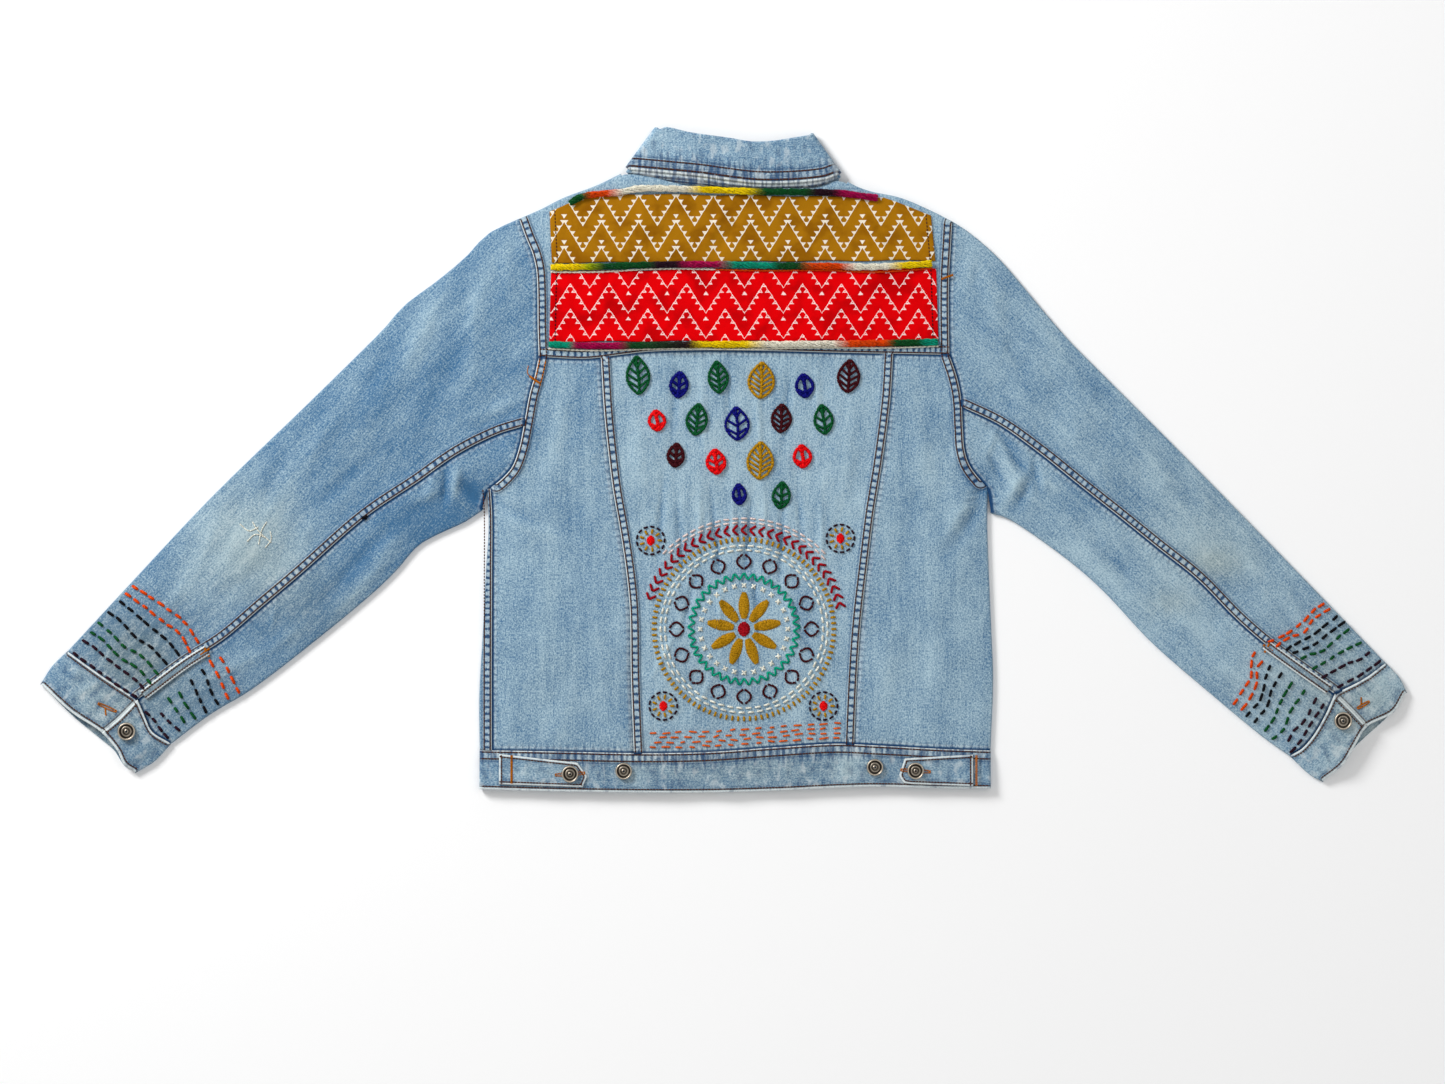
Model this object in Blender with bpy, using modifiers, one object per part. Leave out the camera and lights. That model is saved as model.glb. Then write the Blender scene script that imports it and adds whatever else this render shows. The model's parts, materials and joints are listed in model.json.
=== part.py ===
"""A denim jacket that lies flat on its front, back up, with its sleeves spread.

Metres, +Z up, the floor at z = 0. Lengths in the tables are millimetres on the flat jacket: x from its
centre back line, towards the wearer's right, and y from its hem, towards the collar. At the end the jacket
is moved so that the middle of its underside is the origin.

Each cloth piece is an inner surface, worked out from plan lines and a height. Solidify gives it its wall.
"""

import math

import bmesh
import bpy
import numpy as np
from mathutils import Vector

MM = 0.001

for item in list(bpy.data.objects):
    bpy.data.objects.remove(item)
COLLECTION = bpy.data.collections.new("denim_jacket")
bpy.context.scene.collection.children.link(COLLECTION)
JACKET = bpy.data.objects.new("denim_jacket", None)
COLLECTION.objects.link(JACKET)

# Cloth, in millimetres
CLOTH = 1.2  # one layer of denim
DOUBLE = 2.0  # two layers: cuffs, waistband, collar and tabs
BAND = 1.8  # a front button band
PATCH = 1.2
SEAM_RIDGE = 1.0  # how far a felled seam stands out from the cloth
RIDGE_WIDTH = 8.0
RIDGE_STEP = 1.5  # over which the ridge falls back to the cloth
FOLD_RADIUS = 1.0  # inside a fold at the jacket's edge
SEAM_GAP = 0.4  # between two pieces at a seam
LIE_GAP = 0.45  # between a piece and what it lies on
ROLL_GAP = 0.6  # between a collar's stand and its fall

# The upper layer's height
PUFF = 4.0  # how far it rises away from the jacket's folded edges
PUFF_REACH = 25.0
FOLD_HEIGHT = CLOTH + 2 * FOLD_RADIUS

# What lifts the lower layer off the floor: the collar's fall, the buttons and the overlapping bands
NECK_LIFT = DOUBLE + ROLL_GAP
NECK_CENTRE = (0.0, 600.0)
NECK_REACH = (172.0, 238.0)
BUTTON_LIFT = 2.6
OVER_LIFT = BUTTON_LIFT + DOUBLE + 0.3
CENTRE_REACH = (24.0, 100.0)

# Front opening
BAND_HALF = 19.0
NECK_FRONT = 517.0
FRONT_BUTTONS = (490.0, 402.0, 314.0, 226.0, 138.0, 19.0)

SHOULDER_WRAP = 12.0  # how far the yoke reaches round the shoulder to its seam underneath
ARMPIT_STEP = 1.2  # from the side fold to the side seam at the armpit
PLACKET_SPAN = (0.82, 0.985)  # where a sleeve's opening starts and ends along the elbow seam
PLACKET_HALF = 5.0

DENIM = (0.25, 0.36, 0.46)
DENIM_DARK = (0.17, 0.27, 0.38)
MUSTARD = (0.34, 0.15, 0.01)
RED = (0.68, 0.004, 0.005)
BRASS = (0.45, 0.30, 0.18)

# A button's profile: share of its radius, and height
SHOWN_BUTTON = ((0.0, 2.6), (0.55, 2.6), (0.72, 3.2), (0.9, 3.1), (1.0, 2.3), (0.93, 1.4), (0.5, 0.9),
                (0.42, 0.0), (0.0, 0.0))
HIDDEN_BUTTON = ((0.0, 2.3), (0.85, 2.3), (1.0, 1.6), (1.0, 0.6), (0.85, 0.0), (0.0, 0.0))

# Plan lines of each side. The shoulder, sleeve, side and collar lines are the silhouette, the others seams.
LEFT = {
    "shoulder": [(-108.3, 585.2), (-132.0, 573.8), (-162.4, 562.4), (-185.2, 551.0), (-205.2, 542.4)],
    "sleeve_upper": [(-205.2, 542.4), (-234.7, 528.2), (-256.5, 505.4), (-284.0, 482.6), (-314.5, 459.8),
                     (-334.4, 437.0), (-403.8, 368.6), (-497.8, 277.4), (-583.3, 186.2), (-633.5, 132.0)],
    "sleeve_lower": [(-239.5, 266.0), (-256.5, 254.6), (-281.2, 243.2), (-301.2, 231.8), (-321.1, 209.0),
                     (-344.9, 186.2), (-400.0, 140.6), (-459.8, 95.0), (-497.8, 72.2), (-536.0, 43.6)],
    "side": [(-235.4, 286.0), (-233.9, 250.0), (-236.5, 209.0), (-239.4, 152.0), (-242.8, 90.0),
             (-242.4, 38.0)],
    "arm_yoke": [(-198.5, 524.4), (-191.9, 508.2), (-188.1, 489.2), (-187.1, 437.0), (-186.2, 411.3)],
    "arm_upper": [(-186.2, 411.3), (-190.0, 393.3), (-194.8, 376.2), (-200.5, 345.5)],
    "arm_lower": [(-200.5, 345.5), (-204.5, 326.0), (-210.9, 307.8), (-220.4, 296.4)],
    "beside_body": [(-236.4, 287.6), (-237.6, 277.0)],
    "elbow": [(-200.5, 345.5), (-226.1, 337.5), (-263.1, 318.9), (-300.2, 293.0), (-351.1, 258.7),
              (-411.0, 206.1), (-447.9, 174.8), (-484.9, 143.4), (-521.9, 119.7), (-566.7, 86.1)],
    "cuff_seam_upper": [(-600.0, 108.0), (-566.7, 86.1)],
    "cuff_seam_lower": [(-566.7, 86.1), (-559.6, 69.3), (-552.7, 55.5)],
    "cuff_upper": [(-633.5, 132.0), (-648.0, 117.8), (-659.0, 101.0)],
    "cuff_lower": [(-536.0, 43.6), (-551.5, 27.3), (-569.0, 16.6)],
    "cuff_edge": [(-629.4, 74.5), (-601.4, 56.0), (-586.1, 38.8), (-579.2, 24.8)],
    "cuff_edge_lower": [(-629.9, 72.2), (-602.3, 49.4), (-589.0, 38.0), (-579.8, 24.0)],
    "princess": [(-127.3, 410.6), (-124.4, 361.0), (-120.6, 323.0), (-115.9, 285.0), (-109.2, 247.0),
                 (-103.5, 209.0), (-99.8, 171.0), (-98.8, 108.3)],
    "princess_foot": -96.0,
    "inward": 1.0,
    "side_seam": [(-230.6, 262.0), (-230.6, 209.0), (-230.8, 114.0), (-230.8, 38.0)],
    "collar_side": [(-101.8, 585.6), (-88.0, 606.0), (-72.5, 625.6)],
    "front_neck": [(-104.6, 571.0), (-94.0, 550.0), (-62.0, 525.5), (-BAND_HALF, NECK_FRONT)],
    "stand_neck": [(-101.8, 585.6), (-99.5, 572.0), (-89.5, 552.5), (-59.5, 528.5), (-17.0, NECK_FRONT + 2)],
    "stand_roll": [(-72.5, 625.6), (-66.0, 600.0), (-45.0, 565.0), (-6.0, 536.0)],
    "fall_edge": [(-99.9, 588.4), (-104.0, 560.0), (-98.0, 520.0), (-80.0, 482.0)],
}
RIGHT = {
    "shoulder": [(107.0, 577.6), (115.9, 573.0), (130.2, 568.1), (156.8, 562.4), (184.3, 551.0),
                 (207.1, 539.6)],
    "sleeve_upper": [(207.1, 539.6), (224.2, 528.2), (249.9, 505.4), (279.3, 471.2), (298.3, 448.4),
                     (318.3, 425.6), (341.0, 402.8), (420.9, 323.0), (510.2, 231.8), (617.5, 121.0)],
    "sleeve_lower": [(243.4, 262.5), (253.7, 260.0), (265.1, 254.6), (298.3, 231.8), (327.8, 209.0),
                     (352.5, 186.2), (395.2, 140.6), (447.5, 95.0), (502.6, 49.4), (527.4, 32.0)],
    "side": [(240.5, 288.0), (239.6, 254.6), (241.0, 209.0), (243.4, 152.0), (245.1, 105.0), (242.6, 37.6)],
    "arm_yoke": [(205.0, 519.6), (203.2, 489.2), (202.8, 456.0), (203.3, 413.2)],
    "arm_upper": [(203.3, 413.2), (209.9, 394.0), (213.6, 378.1), (215.2, 363.8)],
    "arm_lower": [(215.2, 363.8), (216.2, 341.1), (217.6, 323.6), (223.0, 307.5)],
    "beside_body": [(242.4, 286.0), (242.6, 274.5)],
    "elbow": [(215.2, 363.8), (250.8, 346.8), (288.4, 320.3), (325.8, 290.2), (363.6, 260.3), (400.9, 230.2),
              (438.7, 200.1), (475.9, 162.4), (506.3, 136.2), (569.0, 91.5)],
    "cuff_seam_upper": [(597.8, 106.4), (569.0, 91.5)],
    "cuff_seam_lower": [(569.0, 91.5), (560.5, 72.9), (549.9, 54.1), (537.9, 39.5)],
    "cuff_upper": [(617.5, 121.0), (630.8, 106.4), (637.6, 93.0)],
    "cuff_lower": [(527.4, 32.0), (545.3, 15.2), (557.8, 8.2)],
    "cuff_edge": [(624.5, 74.2), (599.2, 60.8), (587.1, 42.2), (576.6, 24.9)],
    "cuff_edge_lower": [(621.3, 72.2), (596.6, 49.4), (585.2, 38.0), (574.0, 22.0)],
    "princess": [(150.1, 414.2), (147.2, 369.5), (139.7, 311.6), (132.0, 264.1), (126.3, 218.5),
                 (119.7, 161.5), (115.9, 108.3)],
    "princess_foot": 113.0,
    "inward": -1.0,
    "side_seam": [(231.8, 262.0), (232.8, 209.0), (235.2, 152.0), (236.9, 105.0), (234.4, 37.6)],
    "collar_side": [(98.6, 580.6), (85.5, 600.0), (70.6, 620.0)],
    "front_neck": [(102.0, 566.0), (92.0, 548.0), (62.0, 525.5), (BAND_HALF, NECK_FRONT)],
    "stand_neck": [(98.6, 580.6), (96.6, 567.5), (87.5, 550.5), (59.5, 528.5), (17.0, NECK_FRONT + 2)],
    "stand_roll": [(70.6, 620.0), (64.0, 597.0), (45.0, 565.0), (6.0, 536.0)],
    "fall_edge": [(97.0, 583.0), (102.0, 556.0), (98.0, 520.0), (80.0, 482.0)],
}
SIDES = (("left", LEFT), ("right", RIGHT))

# Plan lines that run from side to side
NECK = [(-92.0, 583.3), (-75.0, 580.3), (-47.5, 573.4), (0.0, 570.9), (50.0, 570.4), (80.0, 572.4),
        (94.0, 577.0)]
YOKE_SEAM = [(-186.2, 411.3), (-146.3, 409.3), (-127.3, 410.6), (-108.0, 413.2), (-80.8, 416.2),
             (-29.4, 417.5), (23.8, 417.0), (101.6, 415.1), (150.1, 414.2), (203.3, 413.2)]
WAIST = [(-242.4, 38.0), (-174.8, 37.0), (-91.2, 35.3), (-27.0, 36.3), (37.0, 40.7), (95.0, 44.2),
         (133.7, 42.6), (197.6, 39.2), (242.6, 37.6)]
UNDER_WAIST = [(-242.4, 38.0), (242.6, 37.6)]
HEM = [(-242.2, 1.4), (-155.8, -0.9), (-43.0, -1.9), (37.0, 0.0), (95.0, 2.8), (133.7, 3.8), (197.6, 2.3),
       (242.2, 1.9)]
COLLAR_NECK = [(-101.8, 585.6), (-92.0, 584.2), (-75.0, 581.1), (-47.5, 574.2), (0.0, 571.7), (50.0, 571.2),
               (80.0, 573.3), (98.6, 580.6)]
COLLAR_ROLL = [(-72.5, 625.6), (-66.0, 627.6), (-43.2, 622.4), (-3.9, 616.7), (15.7, 613.6), (35.3, 614.2),
               (51.7, 616.7), (70.6, 620.0)]
COLLAR_EDGE = [(-99.9, 588.4), (-62.8, 584.9), (-30.1, 581.6), (-13.8, 579.2), (19.0, 575.4), (51.7, 575.4),
               (84.5, 578.6), (97.0, 583.0)]

# Patches: their corners in order from the lower left, anticlockwise
PATCHES = {
    "patch_mustard": ((-173.8, 500.2), (190.2, 502.6), (186.0, 546.0), (140.0, 562.6), (-139.0, 566.4),
                      (-176.0, 549.0)),
    "patch_red": ((-176.2, 425.4), (193.2, 426.4), (191.0, 495.4), (186.0, 496.0), (-170.0, 492.6),
                  (-174.6, 492.0)),
}
PATCH_COLUMNS = 14
PATCH_ROWS = 3

# Yarn along the patches' edges
YARNS = {
    "yarn_top": [(-157.0, 556.5), (-144.0, 563.4), (-109.2, 567.2), (-90.2, 570.6), (-42.8, 569.9),
                 (19.0, 567.6), (95.0, 566.6), (135.8, 561.6)],
    "yarn_middle": [(-174.8, 495.9), (-128.2, 496.6), (-80.8, 498.2), (-19.0, 498.6), (33.2, 497.4),
                    (90.2, 497.0), (128.2, 496.2), (156.8, 497.6), (187.0, 499.6)],
    "yarn_bottom": [(-176.7, 422.9), (-128.2, 421.6), (-42.8, 422.6), (19.0, 422.8), (99.8, 423.4),
                    (192.8, 425.2)],
}
YARN_RADIUS = 2.6
YARN_COLOURS = {
    "yarn_top": (0.62, 0.50, 0.06),
    "yarn_middle": (0.05, 0.14, 0.05),
    "yarn_bottom": (0.55, 0.10, 0.02),
}

# Waist tabs: base to tip along the waistband
TABS = {
    "left": [(-224.0, 5.7), (-150.0, 3.2), (-144.4, 3.0), (-140.0, 13.5), (-149.2, 26.3), (-224.0, 34.6)],
    "right": [(226.0, 3.9), (168.0, 5.9), (160.0, 6.9), (155.5, 14.0), (160.9, 30.4), (226.0, 34.0)],
}

# Buttons: x, y and radius
TAB_BUTTONS = {"left": (-156.4, 15.6), "right": (171.2, 18.6)}
SPARE_BUTTONS = {"left": (-105.6, 18.3), "right": (132.7, 21.9)}
CUFF_BUTTONS = {"left": (-577.0, 56.0), "right": (576.5, 66.0)}
WAIST_BUTTON_RADIUS = 8.0
CUFF_BUTTON_RADIUS = 8.5

# The largest creases: x, y, direction in degrees, half length, half width, height
CREASES = (
    (-262.0, 300.0, 200.0, 42.0, 13.0, 2.4),
    (-318.0, 268.0, 215.0, 48.0, 14.0, 1.8),
    (-352.0, 352.0, 240.0, 60.0, 16.0, 1.6),
    (-470.0, 230.0, 232.0, 62.0, 15.0, 1.5),
    (-505.0, 105.0, 205.0, 50.0, 14.0, 1.4),
    (268.0, 300.0, 330.0, 40.0, 13.0, 2.6),
    (330.0, 330.0, 300.0, 55.0, 15.0, 1.7),
    (440.0, 240.0, 318.0, 60.0, 15.0, 1.6),
    (500.0, 110.0, 330.0, 48.0, 14.0, 1.4),
    (-205.0, 250.0, 285.0, 60.0, 14.0, 1.7),
    (212.0, 262.0, 255.0, 60.0, 14.0, 1.9),
    (-60.0, 140.0, 80.0, 70.0, 18.0, 1.2),
    (60.0, 110.0, 100.0, 64.0, 18.0, 1.2),
)


# Plan lines

def along(points):
    """How far along the line each point is, from 0 to 1."""
    steps = np.linalg.norm(np.diff(points, axis=0), axis=1)
    return np.concatenate([[0.0], np.cumsum(steps)]) / steps.sum()


def length_of(points):
    return np.linalg.norm(np.diff(np.array(points, float), axis=0), axis=1).sum()


def curve(points, fractions):
    """A smooth line through the points (cubic Hermite spans), read at fractions of its length."""
    points = np.array(points, float)
    knots = np.concatenate([[0.0], np.cumsum(np.linalg.norm(np.diff(points, axis=0), axis=1))])
    ends = np.arange(len(points))
    before, after = np.maximum(ends - 1, 0), np.minimum(ends + 1, len(points) - 1)
    slopes = (points[after] - points[before]) / (knots[after] - knots[before])[:, None]
    fine = np.linspace(0.0, knots[-1], 600)
    span = np.clip(np.searchsorted(knots, fine, side="right") - 1, 0, len(knots) - 2)
    width = (knots[span + 1] - knots[span])[:, None]
    t = (fine - knots[span])[:, None] / width
    dense = (
        (2 * t**3 - 3 * t**2 + 1) * points[span]
        + (t**3 - 2 * t**2 + t) * width * slopes[span]
        + (3 * t**2 - 2 * t**3) * points[span + 1]
        + (t**3 - t**2) * width * slopes[span + 1]
    )
    place = along(dense)
    return np.column_stack([np.interp(fractions, place, dense[:, axis]) for axis in (0, 1)])


def across(points, start, end, fractions):
    """Points of a line that runs from side to side, at fractions of the way from one x to another."""
    dense = curve(points, even(400))
    x = start + (end - start) * fractions
    return np.column_stack([x, np.interp(x, dense[:, 0], dense[:, 1])])


def even(count):
    return np.linspace(0.0, 1.0, count + 1)


def normals_of(line, away_from):
    """Unit normals of a plan line, on the side away from the given points."""
    run = np.gradient(line, axis=0)
    normal = np.column_stack([-run[:, 1], run[:, 0]])
    normal /= np.linalg.norm(normal, axis=1, keepdims=True)
    facing = np.sum(normal * (line - away_from), axis=1, keepdims=True)
    return np.where(facing < 0, -normal, normal)


def fold_line(points, inside, count=40):
    """The line where the upper layer starts to turn down, inside a silhouette line."""
    line = curve(points, even(count))
    return line - (FOLD_RADIUS + CLOTH) * normals_of(line, np.array(inside, float))


def patch(bottom, top, left, right):
    """Rows of plan points between four edges: ruled from bottom to top, then pulled to left and right."""
    rows = (along(left) + along(right))[:, None] / 2
    across = (1 - rows) * along(bottom) + rows * along(top)
    pull = (across**2 * (3 - 2 * across))[..., None]
    up = (1 - pull) * along(left)[:, None, None] + pull * along(right)[:, None, None]
    plan = (1 - up) * bottom + up * top
    plan = plan + (1 - pull) * (left[:, None] - (1 - up) * bottom[0] - up * top[0])
    return plan + pull * (right[:, None] - (1 - up) * bottom[-1] - up * top[-1])


EDGES = {"b": (np.s_[0, :], np.s_[1, :]), "t": (np.s_[-1, :], np.s_[-2, :]),
         "l": (np.s_[:, 0], np.s_[:, 1]), "r": (np.s_[:, -1], np.s_[:, -2])}


def inset(plan, sides):
    """The same rows of points with the named edges drawn in by half a seam's gap."""
    plan = plan.copy()
    for side in sides:
        edge, inner = EDGES[side]
        toward = plan[inner] - plan[edge]
        plan[edge] += SEAM_GAP / 2 * toward / np.linalg.norm(toward, axis=-1, keepdims=True)
    return plan


# Heights

def smooth_step(value, start, end):
    t = np.clip((value - start) / (end - start), 0.0, 1.0)
    return t * t * (3 - 2 * t)


def neck_lift(plan):
    away = np.linalg.norm(plan - np.array(NECK_CENTRE), axis=-1)
    return NECK_LIFT * (1 - smooth_step(away, *NECK_REACH))


def lower_lift(plan, centre_lift=0.0):
    """How high the lower layer's underside is: centre_lift at the front opening, and clear of the collar."""
    centre = centre_lift * (1 - smooth_step(np.abs(plan[..., 0]), *CENTRE_REACH))
    return np.maximum(centre, neck_lift(plan))


def distance_to_folds(plan):
    """The distance from each point to the nearest folded edge."""
    nearest = np.full(plan.shape[:-1], 1e9)
    for line in FOLDS:
        for start, end in zip(line[:-1], line[1:]):
            run = end - start
            t = np.clip(((plan - start) @ run) / (run @ run), 0.0, 1.0)
            nearest = np.minimum(nearest, np.linalg.norm(plan - start - t[..., None] * run, axis=-1))
    return nearest


def upper_inside(plan):
    """The height of the upper layer's inner side."""
    distance = distance_to_folds(plan)
    crease = np.zeros(plan.shape[:-1])
    for x, y, direction, length, width, height in CREASES:
        angle = math.radians(direction)
        dx, dy = plan[..., 0] - x, plan[..., 1] - y
        run = (dx * math.cos(angle) + dy * math.sin(angle)) / length
        side = (dy * math.cos(angle) - dx * math.sin(angle)) / width
        crease += height * np.exp(-(run**2) - side**2)
    rise = PUFF * (1 - np.exp(-distance / PUFF_REACH)) + crease * (1 - np.exp(-distance / 20.0))
    return FOLD_HEIGHT + neck_lift(plan) + rise


def lower_inside(plan, centre_lift=0.0):
    """The height of the lower layer's inner side."""
    return CLOTH + lower_lift(plan, centre_lift)


def round_fold(edge, inner):
    """The cloth round a folded edge, from the upper layer to the lower one. inner is the next column in."""
    return turned(edge, normals_of(edge, inner), lower_inside(edge), upper_inside(edge))


# Making the objects

def laid(plan, height):
    return np.dstack([plan, np.broadcast_to(height, plan.shape[:-1])])


def turned(edge, outward, low, high, radius=FOLD_RADIUS, steps=3):
    """Points round a fold, a row for each step, from the upper layer down to the lower one."""
    turn = np.linspace(0.0, math.pi, steps + 1)[:, None]
    plan = edge[None] + radius * np.sin(turn)[..., None] * outward[None]
    return np.dstack([plan, (low + high) / 2 + (high - low) / 2 * np.cos(turn)])


def material(name, colour, roughness=0.9, metallic=0.0):
    made = bpy.data.materials.new(name)
    made.use_nodes = True
    shader = made.node_tree.nodes["Principled BSDF"]
    shader.inputs["Base Color"].default_value = (*colour, 1.0)
    shader.inputs["Roughness"].default_value = roughness
    shader.inputs["Metallic"].default_value = metallic
    return made


def place(name, data, location=(0.0, 0.0, 0.0)):
    made = bpy.data.objects.new(name, data)
    made.location = [MM * value for value in location]
    made.parent = JACKET
    COLLECTION.objects.link(made)
    return made


def cloth(name, grids, colour, wall=CLOTH, thick=None, face_up=True):
    """One cloth piece from grids of inner points that share their edges, with a wall on the outside.

    thick gives the first grid's own walls, where a felled seam makes them thicker.
    """
    thickest = wall if thick is None else float(np.max(thick))
    shell = bmesh.new()
    weights = shell.verts.layers.deform.verify()
    for number, grid in enumerate(grids):
        rows, columns = grid.shape[:2]
        walls = thick if number == 0 and thick is not None else np.full((rows, columns), wall)
        made = [[shell.verts.new(point) for point in row] for row in grid * MM]
        for row, wall_row in zip(made, walls):
            for vertex, value in zip(row, wall_row):
                vertex[weights][0] = value / thickest
        for i in range(rows - 1):
            for j in range(columns - 1):
                shell.faces.new((made[i][j], made[i][j + 1], made[i + 1][j + 1], made[i + 1][j]))
    bmesh.ops.remove_doubles(shell, verts=shell.verts, dist=1e-6)
    bmesh.ops.recalc_face_normals(shell, faces=shell.faces)
    shell.normal_update()
    level = [face for face in shell.faces if abs(face.normal.z) > 0.5]
    outermost = max(level, key=lambda face: face.calc_center_median().z)
    if (outermost.normal.z > 0) != face_up:
        bmesh.ops.reverse_faces(shell, faces=shell.faces)
    data = bpy.data.meshes.new(name)
    shell.to_mesh(data)
    shell.free()
    data.shade_smooth()
    data.materials.append(material(name, colour))
    made = place(name, data)
    made.vertex_groups.new(name="wall")
    solid = made.modifiers.new("wall", "SOLIDIFY")
    solid.thickness = thickest * MM
    solid.offset = 1.0
    solid.vertex_group = "wall"
    return made


def ridge(seam_distance):
    """Walls that are thicker along a felled seam, from each point's distance to it."""
    return CLOTH + SEAM_RIDGE * (1 - np.clip((seam_distance - RIDGE_WIDTH) / RIDGE_STEP, 0.0, 1.0))


def seam_stops(length):
    """Fractions of a line at a felled seam's far side, measured from the line's start."""
    return RIDGE_WIDTH / length, (RIDGE_WIDTH + RIDGE_STEP) / length


# Rows and columns. Pieces that meet share their points along the seam.
SLEEVE_ROWS = 16
SIDE_ROWS = 9  # from the armpit down to the waist
ARM_YOKE, ARM_ELBOW, ARM_PIT = 7, 11, 15  # the yoke seam, the elbow seam and the armpit along the armhole
LOWER_COLUMNS = 6  # from the elbow seam to the lower fold
NECK_COLUMNS = 12
SHOULDER_COLUMNS = 5
UNDER_TOP = (0, 1, 3, 4, 7, 8)  # armhole points used on the underside, down to the front seam
UNDER_LOW = (8, 11, 13, 14)  # and from the front seam to the armpit
CUFF_ROWS = 3


def seams_of(side):
    """The sampled plan lines that the pieces of one side share."""
    elbow_middle = side["elbow"][5]
    shoulder = fold_line(side["shoulder"], (0.0, 300.0))
    upper = fold_line(side["sleeve_upper"], elbow_middle)
    lower = fold_line(side["sleeve_lower"], elbow_middle)
    body = curve(fold_line(side["side"], (0.0, 200.0)), even(SIDE_ROWS))
    cuff_upper = fold_line(side["cuff_upper"], elbow_middle)
    cuff_lower = fold_line(side["cuff_lower"], elbow_middle)
    shoulder[-1] = upper[0] = (shoulder[-1] + upper[0]) / 2
    cuff_upper[0], cuff_lower[0] = upper[-1], lower[-1]

    yoke = [upper[0], *side["arm_yoke"]]
    near, far = seam_stops(length_of(yoke))
    arm_yoke = curve(yoke, np.array([0.0, 0.09, 0.3, 0.5, 0.72, 1 - far, 1 - near, 1.0]))
    near, far = seam_stops(length_of(side["arm_upper"]))
    arm_upper = curve(side["arm_upper"], np.array([0.0, 0.43, 1 - far, 1 - near, 1.0]))
    arm_lower = curve([*side["arm_lower"], body[0]], even(4))

    seam_upper = [upper[-1], *side["cuff_seam_upper"]]
    near, far = seam_stops(length_of(seam_upper))
    to_ridge = np.linspace(0.0, 1 - far, ARM_ELBOW - 1)
    side_seam = curve([body[0] + [ARMPIT_STEP * side["inward"], 0.0], *side["side_seam"]], even(400))[::-1]
    side_seam = np.column_stack([np.interp(body[:, 1], side_seam[:, 1], side_seam[:, 0]), body[:, 1]])
    return {
        "shoulder": shoulder, "upper": upper, "lower": lower, "body": body, "side_seam": side_seam,
        "cuff_upper": cuff_upper, "cuff_lower": cuff_lower,
        "arm": np.vstack([arm_yoke, arm_upper[1:], arm_lower[1:]]),
        "cuff_seam_upper": curve(seam_upper, np.append(to_ridge, [1 - near, 1.0])),
        "cuff_seam_lower": curve([*side["cuff_seam_lower"], lower[-1]], even(LOWER_COLUMNS)),
    }


def lower_seam(lines):
    """The cuff seam's points on the underside: down to the front seam, then on to the lower fold."""
    seam = np.vstack([lines["cuff_seam_upper"], lines["cuff_seam_lower"][1:]])
    front_seam = 0.67
    to_seam = np.linspace(0.0, front_seam, len(UNDER_TOP))
    from_seam = np.linspace(front_seam, 1.0, len(UNDER_LOW) + 3)
    return curve(seam, np.append(to_seam, from_seam[1:]))


def sleeve(name, side, lines):
    """The top sleeve, from the elbow seam over the upper fold, and the under sleeve, round the lower."""
    upper = curve(lines["upper"], even(SLEEVE_ROWS))
    lower = curve(lines["lower"], even(SLEEVE_ROWS))
    elbow = curve(side["elbow"], even(SLEEVE_ROWS))
    arm = np.vstack([lines["arm"][:-1], side["beside_body"], lower[:1]])
    over = inset(patch(arm[:ARM_ELBOW + 1], lines["cuff_seam_upper"], upper, elbow), "btr")
    under = inset(patch(arm[ARM_ELBOW:], lines["cuff_seam_lower"], elbow, lower), "btl")
    beneath = lower_seam(lines)
    turn = len(UNDER_TOP) - 1
    middle = (0.4 * upper + 0.6 * lower)[3:-2:3]
    front_seam = curve([arm[UNDER_TOP[-1]], *middle, beneath[turn]], even(SLEEVE_ROWS))
    front = inset(patch(arm[list(UNDER_TOP)], beneath[:turn + 1], upper, front_seam), "btr")
    arm_low = arm[[*UNDER_LOW, *range(ARM_PIT, len(arm))]]
    back = inset(patch(arm_low, beneath[turn:], front_seam, lower), "btl")
    seam_distance = np.linalg.norm(over - over[:, -1:], axis=-1)
    cloth(
        f"top_sleeve_{name}",
        [laid(over, upper_inside(over)), round_fold(over[:, 0], over[:, 1]),
         laid(front, lower_inside(front))],
        DENIM, thick=ridge(seam_distance))
    cloth(
        f"under_sleeve_{name}",
        [laid(under, upper_inside(under)), round_fold(under[:, -1], under[:, -2]),
         laid(back, lower_inside(back))],
        DENIM_DARK)


def rows_level_with(outer, points):
    """Points of a seam that runs down the back, level with the rows of the panel's outer edge."""
    dense = curve(points, even(400))[::-1]
    share = (outer[:, 1] - outer[-1, 1]) / (outer[0, 1] - outer[-1, 1])
    height = dense[0, 1] + share * (dense[-1, 1] - dense[0, 1])
    return np.column_stack([np.interp(height, dense[:, 1], dense[:, 0]), height])


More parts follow.
